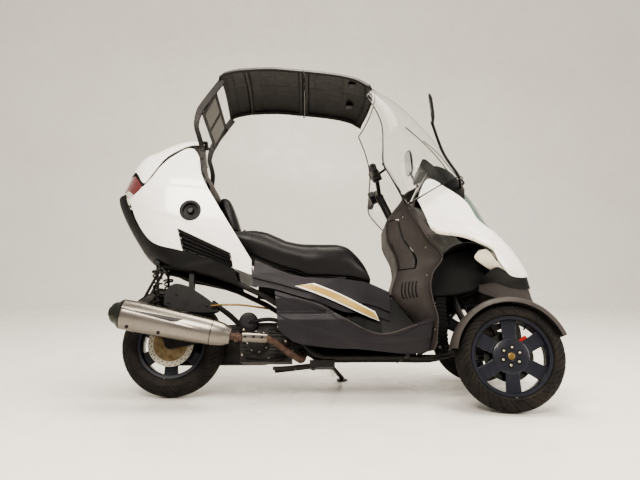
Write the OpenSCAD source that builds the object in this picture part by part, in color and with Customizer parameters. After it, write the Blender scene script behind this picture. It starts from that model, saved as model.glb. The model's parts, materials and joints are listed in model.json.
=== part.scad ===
/* [Stance] */
// Lean of the parked machine to its left, in degrees
lean = 15; // [5:0.5:18]
// Steering turned to the right while parked, in degrees
steer_rest = 5; // [0:0.5:8]
// Distance between rear and front axle
wheelbase = 1577; // [1500:1:1640]
// Distance between the two front wheels, centre to centre
track = 600; // [560:1:640]

/* [Wheels] */
// Rear tyre outside diameter
rear_tyre_d = 501; // [480:1:520]
// Rear tyre width
rear_tyre_w = 140; // [120:1:144]
// Rear rim seat diameter
rear_rim_d = 305; // [290:1:320]
// Front tyre outside diameter
front_tyre_d = 486; // [466:1:500]
// Front tyre width
front_tyre_w = 130; // [110:1:134]
// Front rim seat diameter
front_rim_d = 330; // [310:1:340]
// Tyre carcass thickness
tyre_wall = 12; // [8:1:16]
// Rim barrel wall thickness
rim_wall = 6; // [4:0.5:9]
// Number of spokes in each wheel
spokes = 6; // [5:1:8]
// Brake disc diameter
disc_d = 220; // [190:1:230]
// Brake disc thickness
disc_t = 5; // [3:0.5:6]
// Wheel axle diameter
axle_d = 20; // [16:1:24]

/* [Bodywork] */
// Moulded panel thickness
panel = 4; // [3:0.5:6]
// Windscreen thickness
screen_t = 5; // [3:0.5:7]
// Half width of the roof
roof_half = 250; // [220:1:270]
// Rise of the roof from its edges to its middle
roof_crown = 40; // [20:1:60]
// Thickness of the roof skin
roof_t = 8; // [5:0.5:12]
// Half width of the tail at its widest
tail_w = 236; // [215:1:250]
// Half width of the front cowl at its widest
cowl_w = 245; // [230:1:255]
// Half width of the floor
floor_w = 238; // [225:1:250]
// Half width of the centre tunnel
tunnel_w = 108; // [95:1:118]
// Half width of the seat at its widest
seat_w = 165; // [150:1:175]

/* [Handlebar] */
// Distance from the middle of the bar to each end
bar_half = 348; // [330:1:360]
// Handlebar tube diameter
bar_d = 22; // [20:0.5:25]
// Bore of the handlebar tube
bar_bore = 16; // [13:0.5:18]

/* [Frame and stands] */
// Main frame tube diameter
tube_d = 34; // [28:1:38]
// Side stand leg diameter
stand_d = 22; // [18:1:26]
// Muffler body height
muffler_h = 140; // [120:1:146]
// Muffler body width
muffler_w = 112; // [96:1:118]

/* [Hidden] */
$fn = 64;

// Clearances
fit = 0.3;
pin_fit = 0.1;
running = 8;

// Place of the row's origin, under the middle of the machine
origin_x = 762.5;
origin_y = 195.6;

// Heights of the axles above the floor line, with the tyres' crowns touching the floor at the lean
rear_crown = rear_tyre_w * 0.54;
front_crown = front_tyre_w * 0.51;
rear_axle_z = rear_tyre_d / 2 - rear_crown + rear_crown / cos(lean);
function front_axle_z(side) =
    front_tyre_d / 2 - front_crown + front_crown / cos(lean) + side * track / 2 * tan(lean);
right = -1;
left = 1;

// Front corners
kingpin_in = 85;
carrier_w = 45;
arm_span_z = 62;
kingpin_d = 14;
hub_r = 46;
fender_gap = 20;
fender_r = front_tyre_d / 2 + fender_gap;
fender_w = front_tyre_w / 2 + 5;

module leaned() translate([-origin_x, -origin_y, 0]) rotate([-lean, 0, 0]) children();

module both_sides() {
    children();
    mirror([0, 1, 0]) children();
}

// Local frame of a front corner: kingpin axis through the origin at axle height, outboard along -Y
module steered(side)
    translate([wheelbase, side * (track / 2 - kingpin_in), front_axle_z(side)])
        rotate([0, 0, -steer_rest]) mirror([0, side == left ? 1 : 0, 0]) children();

// Smooth curve through control points, with the same number of steps in each span
function spline_at(p0, p1, p2, p3, t) =
    0.5 * (2 * p1 + (p2 - p0) * t + (2 * p0 - 5 * p1 + 4 * p2 - p3) * t * t
        + (3 * p1 - 3 * p2 + p3 - p0) * t * t * t);
function curve(p, steps = 3) = let (m = len(p) - 1)
    [for (i = [0:m - 1], s = [0:steps - (i < m - 1 ? 1 : 0)])
        spline_at(p[max(i - 1, 0)], p[i], p[i + 1], p[min(i + 2, m)], s / steps)];
function between(low, high, n) =
    [for (i = [0:len(low) - 1]) [for (j = [0:n]) low[i] + (high[i] - low[i]) * j / n]];

// Closed sheet between an outer and an inner grid of points
module sheet(outer, inner) {
    m = len(outer);
    n = len(outer[0]);
    back = m * n;
    points = concat([for (r = outer) each r], [for (r = inner) each r]);
    skin = [for (i = [0:m - 2], j = [0:n - 2])
        let (a = i * n + j, b = a + n, c = b + 1, d = a + 1)
            each [[a, d, c], [a, c, b], [a + back, c + back, d + back], [a + back, b + back, c + back]]];
    low = [for (i = [0:m - 2]) let (a = i * n, b = a + n) each [[a, b, b + back], [a, b + back, a + back]]];
    high = [for (i = [0:m - 2]) let (d = i * n + n - 1, c = d + n)
        each [[c, d, d + back], [c, d + back, c + back]]];
    first = [for (j = [0:n - 2]) let (a = j, d = j + 1) each [[d, a, a + back], [d, a + back, d + back]]];
    last = [for (j = [0:n - 2]) let (b = (m - 1) * n + j, c = b + 1)
        each [[b, c, c + back], [b, c + back, b + back]]];
    polyhedron(points, concat(skin, low, high, first, last));
}

// Closed body lofted through rings that run counter-clockwise seen from the front
module loft(rings) {
    m = len(rings);
    n = len(rings[0]);
    sides = [for (i = [0:m - 2], j = [0:n - 1])
        let (a = i * n + j, b = i * n + (j + 1) % n) each [[a, b + n, b], [a, a + n, b + n]]];
    ends = [[for (j = [0:n - 1]) j], [for (j = [n - 1:-1:0]) (m - 1) * n + j]];
    polyhedron([for (r = rings) each r], concat(sides, ends));
}

// Bent tube swept along points, with one diameter or one for each point
module bent_tube(points, d, up = [0, 1, 0], sides = 10) {
    m = len(points) - 1;
    function along(i) = let (v = points[min(i + 1, m)] - points[max(i - 1, 0)]) v / norm(v);
    function ring(i) = let (t = along(i), c = cross(t, up), u = c / norm(c), w = cross(t, u),
            r = (is_list(d) ? d[i] : d) / 2)
        [for (k = [0:sides - 1]) points[i] + r * (cos(k * 360 / sides) * u + sin(k * 360 / sides) * w)];
    loft([for (i = [0:m]) ring(i)]);
}

// Flat bar along points, its width in the side view and its thickness across
module flat_bar(points, width, thick) {
    m = len(points) - 1;
    function ring(i) = let (t = points[min(i + 1, m)] - points[max(i - 1, 0)], n = cross(t, [0, 1, 0]),
            u = n / norm(n) * (is_list(width) ? width[i] : width) / 2)
        [for (c = [[1, -1], [1, 1], [-1, 1], [-1, -1]]) points[i] + [0, c.x * thick / 2, 0] + c.y * u];
    loft([for (i = [0:m]) ring(i)]);
}

module rod(a, b, d) {
    v = b - a;
    translate(a) rotate([0, acos(v.z / norm(v)), atan2(v.y, v.x)]) cylinder(d = d, h = norm(v), $fn = 24);
}

// Tail surface: half width at a place of the side view
tail_rear = [[600, -60], [642, -93], [674, -140], [726, -181], [934, -299], [975, -313], [1000, -316]];
tail_top = [[-316, 1000], [-285, 1070], [-247, 1146], [-209, 1213], [-165, 1249], [-124, 1264],
    [-73, 1291], [-13, 1316], [46, 1330], [95, 1332], [140, 1326]];
tail_mid_z = 880;
tail_mid_x = 60;
function tail_plan(x, z) = let (u = (tail_mid_x - x) / (tail_mid_x - lookup(z, tail_rear)))
    x > tail_mid_x ? 1 - 0.12 * pow((x - tail_mid_x) / 340, 2) : sqrt(max(1 - pow(min(u, 1), 2.6), 0));
function tail_section(x, z) = let (u = (z - tail_mid_z) / (lookup(x, tail_top) - tail_mid_z))
    u > 0 ? sqrt(max(1 - pow(min(u, 1), 2.8), 0)) : 1 - 0.18 * pow((tail_mid_z - z) / 300, 2);
function tail_half(x, z) = tail_w * tail_plan(x, z) * tail_section(x, z);

// Front surface: half width at a place of the side view, closing on the nose line
nose_line = [[455, 1826], [540, 1806], [599, 1790], [666, 1757], [734, 1710], [810, 1643], [866, 1600],
    [940, 1560], [1020, 1518], [1155, 1452], [1250, 1402]];
front_section = [[455, 0.42], [520, 0.55], [560, 0.66], [600, 0.82], [680, 0.94], [760, 1], [900, 0.98],
    [1060, 0.84], [1160, 0.72]];
cowl_rear_x = 1230;
function front_half(x, z) = let (u = (x - cowl_rear_x) / (lookup(z, nose_line) - cowl_rear_x))
    cowl_w * lookup(z, front_section) * (u > 0 ? sqrt(max(1 - pow(min(u, 1), 2.4), 0)) : 1);

// Middle surface: half width by height, narrow under the seat and wide at the floor
mid_section = [[180, 0.76], [260, 0.92], [345, 1], [372, 0.97], [385, 0.86], [450, 0.9], [520, 0.82],
    [580, 0.74], [640, 0.7]];
function mid_half(x, z) = floor_w * lookup(z, mid_section) * (x < 560 ? 1 - 0.10 * pow((560 - x) / 300,
    2) : 1);

function on_tail(rows) = [for (r = rows) [for (p = r) [p.x, -tail_half(p.x, p.y), p.y]]];
function on_front(rows) = [for (r = rows) [for (p = r) [p.x, -front_half(p.x, p.y), p.y]]];
function on_mid(rows, depth = 0) = [for (r = rows) [for (p = r) [p.x, -(mid_half(p.x, p.y) - depth), p.y]]];

// A skin at a depth below the surface: drawn inward, and towards the middle of the body
function sunk(rows, v) = [for (r = rows) [for (q = r) [q.x + v.x, min(q.y + v.y, 0), q.z + v.z]]];
function tail_skin(rows, depth) = sunk(on_tail(rows), depth * [0.5, 1, -1]);
function front_skin(rows, depth) = sunk(on_front(rows), depth * [-1, 1, 0]);
// Rows carried over the middle plane to the other side, rising by a crown where they don't end on it
function across(r, rise = 0) = let (m = len(r) - 1, e = r[m],
        half = rise > 0 ? concat(r, [for (k = [0.66, 0.33]) [e.x, e.y * k, e.z + rise * (1 - k * k)]])
            : [for (j = [0:m - 1]) r[j]])
    concat(half, [[e.x, 0, e.z + rise]], [for (j = [len(half) - 1:-1:0]) [half[j].x, -half[j].y, half[j].z]]);
function whole(rows, rise = 0) = [for (r = rows) across(r, rise)];

// Half width between the bead seats of a rim
function bead(w) = w * 0.37;
flange_h = 13;

// Tyre around the Y axis
module tyre(d, w, rim_d, crown) {
    r = d / 2;
    a = asin(w / 2 / crown);
    seat_r = rim_d / 2 + fit;
    half = bead(w) - fit;
    outer = [for (i = [-6:6]) let (t = a * i / 6) [r - crown + crown * cos(t), crown * sin(t)]];
    inner = [for (i = [6:-1:-6]) let (t = a * i / 6)
        [r - crown + (crown - tyre_wall) * cos(t), (crown - tyre_wall) * sin(t)]];
    rotate([90, 0, 0]) rotate_extrude($fn = 72)
        polygon(concat(outer, [[seat_r + flange_h + 4, half + 6], [seat_r + flange_h + 2, half], [seat_r,
            half]],
            [[seat_r, half - 14]], inner, [[seat_r, 14 - half], [seat_r, -half]],
            [[seat_r + flange_h + 2, -half], [seat_r + flange_h + 4, -half - 6]]));
}

// Spoked rim around the Y axis, its open face at -Y
module rim(rim_d, w, bore_d, dish) {
    seat_r = rim_d / 2;
    half = bead(w);
    difference() {
        union() {
            rotate([90, 0, 0]) rotate_extrude($fn = 72)
                polygon([[seat_r + flange_h, half + 5], [seat_r + flange_h, half + 1], [seat_r, half],
                    [seat_r, -half], [seat_r + flange_h, -half - 1], [seat_r + flange_h, -half - 5],
                    [seat_r - rim_wall + 4, -half - 5], [seat_r - rim_wall, -half + 12],
                    [seat_r - rim_wall, half - 12], [seat_r - rim_wall + 4, half + 5]]);
            for (i = [0:spokes - 1]) {
                rotate([0, i * 360 / spokes, 0]) spoke(seat_r - rim_wall + 2, dish);
            }
            translate([0, -dish + 4, 0]) rotate([-90, 0, 0]) cylinder(r = hub_r, h = 34);
            translate([0, -dish - 8, 0]) rotate([-90, 0, 0]) cylinder(r = hub_r * 0.55, h = 14);
        }
        translate([0, -dish - 20, 0]) rotate([-90, 0, 0]) cylinder(d = bore_d, h = 80);
    }
}

// Broad spoke that widens towards the barrel
module spoke(reach, dish)
    translate([0, -dish, 0]) rotate([-90, 0, 0]) linear_extrude(height = 20)
        polygon([[-19, hub_r - 12], [-25, reach * 0.55], [-34, reach], [34, reach], [25, reach * 0.55],
            [19, hub_r - 12]]);

module disc(bore_d)
    rotate([90, 0, 0]) difference() {
        cylinder(d = disc_d, h = disc_t, center = true);
        cylinder(d = bore_d, h = disc_t * 3, center = true);
        for (i = [0:11]) {
            rotate(i * 30) translate([disc_d / 2 - 16, 0, 0]) cylinder(d = 9, h = disc_t * 3, center = true,
                $fn = 16);
        }
    }

wheel_bore = axle_d + 2 * pin_fit;
rear_dish = 30;
front_dish = 34;
rear_disc_y = -bead(rear_tyre_w) - 18;

module rear_tyre()
    color("#1c1c1e") leaned() translate([0, 0, rear_axle_z])
        tyre(rear_tyre_d, rear_tyre_w, rear_rim_d, rear_crown);

module rear_rim()
    color("#2a2c33") leaned() translate([0, 0, rear_axle_z])
        rim(rear_rim_d, rear_tyre_w, wheel_bore, rear_dish);

module rear_disc()
    color("#8c7a58") leaned() translate([0, rear_disc_y, rear_axle_z]) {
        disc(wheel_bore + 30);
        rotate([-90, 0, 0]) difference() {
            translate([0, 0, disc_t / 2]) cylinder(d = wheel_bore + 44,
                h = -rear_disc_y - rear_dish - 8 - disc_t / 2 - fit);
            cylinder(d = wheel_bore + 30, h = 60);
        }
    }

module front_tyre(side)
    color("#1c1c1e") leaned() steered(side) translate([0, -kingpin_in, 0])
        tyre(front_tyre_d, front_tyre_w, front_rim_d, front_crown);

module front_rim(side)
    color("#23252e") leaned() steered(side) translate([0, -kingpin_in, 0]) {
        rim(front_rim_d, front_tyre_w, wheel_bore, front_dish);
        translate([0, front_disc_y, 0]) disc(wheel_bore + 40);
        translate([0, -front_dish + 34, 0]) rotate([-90, 0, 0]) difference() {
            cylinder(d = wheel_bore + 54, h = front_disc_y + front_dish - 34);
            translate([0, 0, -1]) cylinder(d = wheel_bore, h = 60);
        }
    }
front_disc_y = 18;

// Steering knuckle with its stub axle, kingpin and brake caliper
barrel_h = 2 * (arm_span_z - 30);
module knuckle(side)
    color("#3a3b3f") leaned() steered(side) {
        stub = kingpin_in + front_dish - 6;
        boss_y = -kingpin_in + front_disc_y + disc_t / 2 + 10;
        translate([0, -stub, 0]) rotate([-90, 0, 0]) cylinder(d = axle_d, h = stub);
        translate([0, 0, -barrel_h / 2]) cylinder(d = 34, h = barrel_h);
        translate([0, 0, -arm_span_z - 16]) cylinder(d = kingpin_d, h = 2 * arm_span_z + 32);
        translate([0, boss_y, 0]) rotate([-90, 0, 0]) cylinder(d = 58, h = -boss_y);
        stay_top = fender_r * 0.86;
        bent_tube([[-6, -12, 0], [-48, -8, 120], [-100, 0, stay_top]], 14, sides = 8);
        translate([-112, -kingpin_in + fender_w + panel + fit, stay_top - 12]) cube([24, 18, 24]);
        rotate([0, -35, 0]) {
            translate([20, -40, -18]) cube([disc_d / 2 - 36, 16, 36]);
            difference() {
                translate([disc_d / 2 - 42, -kingpin_in + front_disc_y - 17, -34]) cube([50, 60, 68]);
                translate([0, -kingpin_in + front_disc_y, 0]) rotate([90, 0, 0])
                    cylinder(d = disc_d + 8, h = disc_t + 6, center = true);
            }
        }
    }

// Mudguard hugging the tyre from its rear quarter over the top, bolted to the knuckle's stay
module fender(side) {
    a0 = 20;
    a1 = 172;
    steps = 18;
    rim_drop = 26;
    function section(a, inset) = [for (v = [1, 0.86, 0.4, 0, -0.4, -0.86, -1])
        let (r = fender_r + panel - inset - rim_drop * pow(abs(v), 6))
            [r * cos(a), -kingpin_in - v * (fender_w + panel - inset), r * sin(a)]];
    color("#6d6a66") leaned() steered(side)
        sheet([for (i = [0:steps]) section(a1 + (a0 - a1) * i / steps, 0)],
            [for (i = [0:steps]) section(a1 + (a0 - a1) * i / steps, panel)]);
}

// Wishbones from the central carrier to both kingpins; the lean is carried by their slope
arm_root_z = (front_axle_z(right) + front_axle_z(left)) / 2;
module suspension_arms()
    color("#2b2c30") leaned()
        for (side = [right, left], level = [-1, 1]) {
            pin = [wheelbase, side * (track / 2 - kingpin_in), front_axle_z(side) + level * (arm_span_z + 2)];
            difference() {
                union() {
                    translate(pin) cylinder(d = 34, h = 24, center = true);
                    for (dx = [-70, 70]) {
                        root = [wheelbase + dx, side * (carrier_w + 12 + fit),
                            arm_root_z + level * arm_span_z];
                        rod(root, pin, 18);
                        translate(root) rotate([0, 90, 0]) cylinder(d = 24, h = 36, center = true, $fn = 24);
                    }
                }
                translate(pin) cylinder(d = kingpin_d + 2 * pin_fit, h = 60, center = true);
            }
        }

// Rear swing arm on the right, carrying the axle and the foot of its shock absorber
arm_y = rear_disc_y - 20;
pivot = [470, 0, 300];
shock_foot = [-48, -122, rear_axle_z + 60];
shock_head = [-78, -122, 640];
case_y = rear_tyre_w / 2 + 26;
case_w = 60;
case_r = 95;
shock_pin_d = 12;
head_tube_d = 24;
left_shock_y = case_y + case_w / 2;
module swing_arm()
    color("#26272b") leaned() {
        translate([0, arm_y - 8, rear_axle_z]) rotate([-90, 0, 0])
            cylinder(d = axle_d, h = -arm_y + 8 + case_y - fit);
        hull() {
            translate([0, arm_y, rear_axle_z]) rotate([90, 0, 0]) cylinder(r = 26, h = 16, center = true,
                $fn = 32);
            translate([280, arm_y, pivot.z]) rotate([90, 0, 0]) cylinder(r = 22, h = 16, center = true,
                $fn = 32);
        }
        hull() {
            translate([280, arm_y, pivot.z]) rotate([90, 0, 0]) cylinder(r = 22, h = 16, center = true,
                $fn = 32);
            translate([324, -60 - fit - 8, pivot.z]) rotate([90, 0, 0]) cylinder(r = 22, h = 16,
                center = true, $fn = 32);
        }
        hull() {
            translate([0, arm_y, rear_axle_z]) rotate([90, 0, 0]) cylinder(r = 20, h = 14, center = true,
                $fn = 32);
            translate([shock_foot.x, arm_y, shock_foot.z]) rotate([90, 0, 0]) cylinder(r = 14, h = 14,
                center = true, $fn = 32);
        }
        translate([shock_foot.x, shock_foot.y - 18, shock_foot.z]) rotate([-90, 0, 0])
            cylinder(d = shock_pin_d, h = arm_y - shock_foot.y + 18);
    }

// Power unit: crankcase, cylinder with fins, and the belt case on the left back to the rear axle
head_tilt = 78;
port_end = [640, -58, 200];
module engine()
    color("#5d5c5a") leaned() {
        translate([335, -60, 165]) cube([250, 60 + case_y, 190]);
        translate([583, 0, 250]) rotate([0, head_tilt, 0]) cylinder(d = 108, h = 76);
        for (i = [0:4]) {
            translate([590 + i * 13, 0, 252 + i * 2.5]) rotate([0, head_tilt, 0]) cylinder(d = 130, h = 5);
        }
        rod([640, 0, 240], port_end, 44);
        hull() {
            translate([0, case_y, rear_axle_z + 6]) rotate([-90, 0, 0]) cylinder(r = case_r, h = case_w,
                $fn = 32);
            translate([430, case_y, pivot.z - 30]) rotate([-90, 0, 0]) cylinder(r = 105, h = case_w,
                $fn = 32);
        }
        translate([shock_foot.x - 14, left_shock_y - 15, rear_axle_z + 50]) cube([28, 30, 44]);
        translate([420, -60, 262]) rotate([90, 0, 0]) cylinder(d = 110, h = 16);
        translate([420, -76, 262]) rotate([90, 0, 0]) cylinder(d = 92, h = 16);
    }

// Spring and damper units, each between two eyes
coil_turns = 8;
wire_d = 8;
module shock(foot, head) {
    long = norm(head - foot);
    low = long * 0.16 + 6 + wire_d / 2 + fit;
    high = long * 0.86 - wire_d / 2 - fit;
    translate(foot) rotate([0, atan2(head.x - foot.x, head.z - foot.z), 0]) {
        difference() {
            union() {
                cylinder(d = 20, h = long, $fn = 24);
                rotate([90, 0, 0]) cylinder(d = 28, h = 30, center = true, $fn = 24);
                translate([0, 0, long]) rotate([90, 0, 0]) cylinder(d = 28, h = 30, center = true, $fn = 24);
                translate([0, 0, long * 0.16]) cylinder(d = 54, h = 6, $fn = 32);
                translate([0, 0, long * 0.86]) cylinder(d = 54, h = 8, $fn = 32);
            }
            rotate([90, 0, 0]) cylinder(d = shock_pin_d + 2 * pin_fit, h = 60, center = true);
            translate([0, 0, long]) rotate([90, 0, 0])
                cylinder(d = shock_pin_d + 2 * pin_fit, h = 60, center = true);
        }
        bent_tube([for (k = [0:coil_turns * 9]) let (a = k * 40)
            [21 * cos(a), 21 * sin(a), low + (high - low) * k / (coil_turns * 9)]], wire_d, [0, 0, 1], 5);
    }
}

left_foot = [shock_foot.x, left_shock_y, rear_axle_z + 94 + 14 + fit];
left_head = [shock_head.x, left_shock_y, shock_head.z];
module rear_shocks()
    color("#1e1e20") leaned() {
        shock(shock_foot, shock_head);
        shock(left_foot, left_head);
    }

module rear_mudguard() {
    a0 = 62;
    a1 = 160;
    steps = 10;
    guard_r = rear_tyre_d / 2 + 24;
    function section(a, inset) = [for (v = [-1, -0.8, 0, 0.8, 1])
        let (r = guard_r + 4 - inset - 10 * pow(abs(v), 4))
            [r * cos(a), v * (rear_tyre_w / 2 + 12 - inset), rear_axle_z + r * sin(a)]];
    stay = [-0.43, 0, -0.903];
    stay_head = [shock_head.x, 0, shock_head.z] + stay * (head_tube_d / 2 + fit);
    color("#232325") leaned() {
        sheet([for (i = [0:steps]) section(a1 + (a0 - a1) * i / steps, 0)],
            [for (i = [0:steps]) section(a1 + (a0 - a1) * i / steps, 4)]);
        for (y = [-34, 34]) {
            rod(stay_head + [0, y, 0], stay_head + [0, y, 0] + stay * 157, 14);
        }
    }
}

// Muffler: tapered oval can with a long slot window in its shield
muffler_y = -268;
muffler_tail = [-236, muffler_y, 378];
muffler_nose = [309, muffler_y + 14, 268];
muffler_line = muffler_nose - muffler_tail;
muffler_tilt = atan2(-muffler_line.z, muffler_line.x);
module muffler() {
    long = norm(muffler_line);
    stations = [[0, 0.52], [0.02, 0.66], [0.045, 0.74], [0.09, 0.98], [0.2, 1], [0.55, 0.94], [0.82, 0.86],
        [0.93, 0.74], [1, 0.5]];
    color("#9b9289") leaned() for (x = [110, 180]) {
        rod([x, arm_y - 8 - 2, 272], [x, muffler_y + 60, 296], 16);
    }
    color("#9b9289") leaned() translate(muffler_tail) rotate([0, muffler_tilt, atan2(muffler_line.y,
        muffler_line.x)])
        difference() {
            loft([for (s = stations) [for (i = [0:23]) let (t = i * 15)
                [long * s[0], muffler_w / 2 * s[1] * cos(t), muffler_h / 2 * s[1] * sin(t)]]]);
            translate([long * 0.22, -muffler_w / 2 - 4, 4]) rotate([90, 0, 0]) rotate([0, 0, -3])
                linear_extrude(height = 20, center = true)
                    polygon([[0, 16], [200, 12], [170, -2], [205, -12], [190, -22], [140, -16]]);
            translate([-1, 0, 0]) rotate([0, 90, 0]) cylinder(d = 44, h = 30);
        }
}

// Exhaust pipe with its slotted heat shield, from the cylinder round to the muffler
module exhaust_pipe()
    color("#8d7f74") leaned() {
        along = muffler_line / norm(muffler_line);
        port = (port_end - [640, 0, 240]) / norm(port_end - [640, 0, 240]);
        route = [muffler_nose + along * fit, muffler_nose + along * 22, muffler_nose + along * 24,
            muffler_nose + along * 38, muffler_nose + along * 40, [358, -242, 264], [360, -241, 264],
            [414, -228, 264], [468, -212, 262], [470, -211, 262], [520, -184, 240], [560, -156, 210],
            [600, -128, 186], [630, -98, 172], port_end + port * 20, port_end + port * fit];
        bent_tube(route, [34, 34, 46, 46, 34, 34, 50, 52, 50, 34, 34, 34, 34, 34, 34, 34], [0, 0, 1], 12);
    }

// Intake box standing over the rear wheel on the right
module air_box()
    color("#2c2b2d") leaned()
        translate([0, -112, 0]) rotate([90, 0, 0]) linear_extrude(height = 44)
            polygon(concat(curve([[-26, 430], [-22, 498], [24, 532], [88, 518]], 3), [[88, 592.6], [112,
                584.6]],
                curve([[112, 504], [190, 452], [235, 400], [150, 392], [40, 404], [-26, 430]], 3)));

// White flank of the tail, from the lamp forward to the tip under the seat
cap_place = [92, 0, 878];
cap_d = 92;
module tail_panels() {
    low = curve([[-226, 955], [-190, 860], [-128, 765], [-60, 715], [60, 682], [180, 645], [303, 604], [389,
        575]], 2);
    high = curve([[-158, 1006], [-110, 1062], [-60, 1142], [-16, 1187], [60, 1238], [112, 1180], [158, 1020],
        [390, 640]], 2);
    rows = between(low, high, 6);
    color("#efeeea") leaned() {
        difference() {
            sheet(tail_skin(rows, 0), tail_skin(rows, panel));
            translate([cap_place.x, -tail_w + 60, cap_place.z]) rotate([90, 0,
                0]) cylinder(d = cap_d + 2 * fit, h = 90);
        }
        mirror([0, 1, 0]) sheet(tail_skin(rows, 0), tail_skin(rows, panel));
    }
}

// Black strip below the white flank, the curved plate at the rear, and the round recess of the filler
module tail_trim() {
    low = curve([[-150, 732], [-78, 664], [20, 616], [160, 586], [270, 554], [330, 534]], 2);
    high = curve([[-214, 930], [-120, 770], [-58, 722], [60, 690], [180, 652], [300, 612]], 2);
    rows = between(low, high, 3);
    depth = panel + 2.4;
    rear_plate = [for (z = [660:55:990]) [for (v = [-1:0.25:1])
        let (x = lookup(z, tail_rear), half = min(tail_half(x + 70, z), 150))
            [x + 3 + 60 * pow(abs(v), 3), v * half, z]]];
    color("#1f1f21") leaned() {
        both_sides() sheet(tail_skin(rows, depth), tail_skin(rows, depth + panel));
        sheet(rear_plate, [for (r = rear_plate) [for (q = r) q + [panel + 2, 0, 0]]]);
        translate([cap_place.x, -tail_w + 1, cap_place.z]) rotate([-90, 0, 0]) difference() {
            cylinder(d = cap_d, h = 30);
            translate([0, 0, -1]) cylinder(d = cap_d - 14, h = 26);
        }
        translate([cap_place.x, -tail_w + 12, cap_place.z]) rotate([-90, 0, 0]) cylinder(d = 30, h = 16);
    }
}

module tail_lamps() {
    low = [[-300, 1000], [-262, 985], [-221, 963]];
    high = [[-262, 1098], [-216, 1094], [-157, 1009]];
    depth = panel + 2 * fit;
    rows = between(low, high, 4);
    color("#b3261e") leaned() both_sides()
        sheet(tail_skin(rows, depth), tail_skin(rows, depth + 12));
}

// Open luggage bucket inside the tail, its shelf reaching both flanks
trunk_rear = -140;
trunk_front = 96;
trunk_half = 140;
trunk_floor = 790;
trunk_top = 1150;
module trunk_box() {
    function shelf(side) = [for (x = [-44:24:trunk_front]) [x, side * (tail_half(x,
        trunk_top + 6) - panel - 3)]];
    color("#3a3a3c") leaned() difference() {
        union() {
            translate([trunk_rear, -trunk_half, trunk_floor])
                cube([trunk_front - trunk_rear, 2 * trunk_half, trunk_top - trunk_floor]);
            translate([0, 0, trunk_top - panel]) linear_extrude(height = panel)
                polygon(concat(shelf(-1), [for (i = [len(shelf(1)) - 1:-1:0]) shelf(1)[i]]));
        }
        translate([trunk_rear + panel, -trunk_half + panel, trunk_floor + panel])
            cube([trunk_front - trunk_rear - 2 * panel, 2 * trunk_half - 2 * panel, trunk_top]);
    }
}

// Lid over the luggage bucket, hinged at its front edge
lid_hinge = [120, 0, 1320];
module trunk_lid() {
    low = curve([[-250, 1112], [-205, 1107], [-153, 1032], [-108, 1084], [-62, 1164], [-17, 1207.5], [58,
        1257],
        [104, 1263]], 2);
    high = curve([[-262, 1112], [-247, 1145], [-209, 1212], [-165, 1248], [-73, 1290], [-13, 1315], [46,
        1329],
        [100, 1331]], 2);
    rows = between(low, high, 6);
    color("#f3f2ee") leaned() {
        sheet(whole(tail_skin(rows, 0)), whole(tail_skin(rows, panel)));
        for (y = [-40, 40]) {
            difference() {
                union() {
                    translate(lid_hinge + [0, y, 0]) rotate([90, 0, 0]) cylinder(d = 18, h = 24,
                        center = true);
                    translate([84, y - 12, lid_hinge.z - 4]) cube([lid_hinge.x - 84, 24, 8]);
                }
                translate(lid_hinge) rotate([90, 0, 0]) cylinder(d = 8 + 2 * pin_fit, h = 200, center = true);
            }
        }
    }
}

// Stepped two-up seat: rings along its length, crowned on top and pulled in at its base
seat_top = [[206, 846], [250, 841], [307, 830], [380, 824], [445, 814], [505, 790], [564, 765], [636, 752],
    [720, 750], [802, 751], [850, 741], [909, 697], [954, 643], [984, 575]];
seat_low = [[206, 790], [266, 745], [402, 672], [520, 622], [627, 590], [660, 572], [860, 572], [940, 560],
    [984, 552]];
seat_plan = [[206, 0.74], [300, 0.92], [445, 0.98], [560, 1], [700, 1], [802, 0.92], [880, 0.78], [940, 0.6],
    [984, 0.42]];
pad_half = 128;
pad_front = 334;
module seat() {
    function ring(x) = let (w = seat_w * lookup(x, seat_plan), t = lookup(x, seat_top), b = lookup(x,
        seat_low),
            h = t - b)
        [[x, -w * 0.86, b], [x, w * 0.86, b], [x, w * 0.97, b + h * 0.3], [x, w, b + h * 0.55], [x, w * 0.9,
            b + h * 0.82],
            [x, w * 0.66, b + h * 0.95], [x, w * 0.3, t], [x, -w * 0.3, t], [x, -w * 0.66, b + h * 0.95],
            [x, -w * 0.9, b + h * 0.82], [x, -w, b + h * 0.55], [x, -w * 0.97, b + h * 0.3]];
    color("#2b2a2c") leaned() {
        for (y = [-36, 36]) {
            difference() {
                union() {
                    translate(seat_hinge + [0, y, 0]) rotate([90, 0, 0]) cylinder(d = 22, h = 20,
                        center = true);
                    translate(seat_hinge + [-8, y - 10, 0]) cube([16, 20, 24]);
                }
                translate(seat_hinge) rotate([90, 0, 0]) cylinder(d = hinge_pin_d + 2 * pin_fit, h = 200,
                    center = true);
            }
        }
        difference() {
            loft([for (x = [250, 300, 350, 400, 445, 480, 505, 535, 564, 600, 640, 660, 700, 760, 802, 835,
                860, 900,
            930, 956, 972, 984]) ring(x)]);
            translate([200, -pad_half - running, 600]) cube([pad_front + running - 200,
                2 * (pad_half + running), 400]);
        }
    }
}

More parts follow.
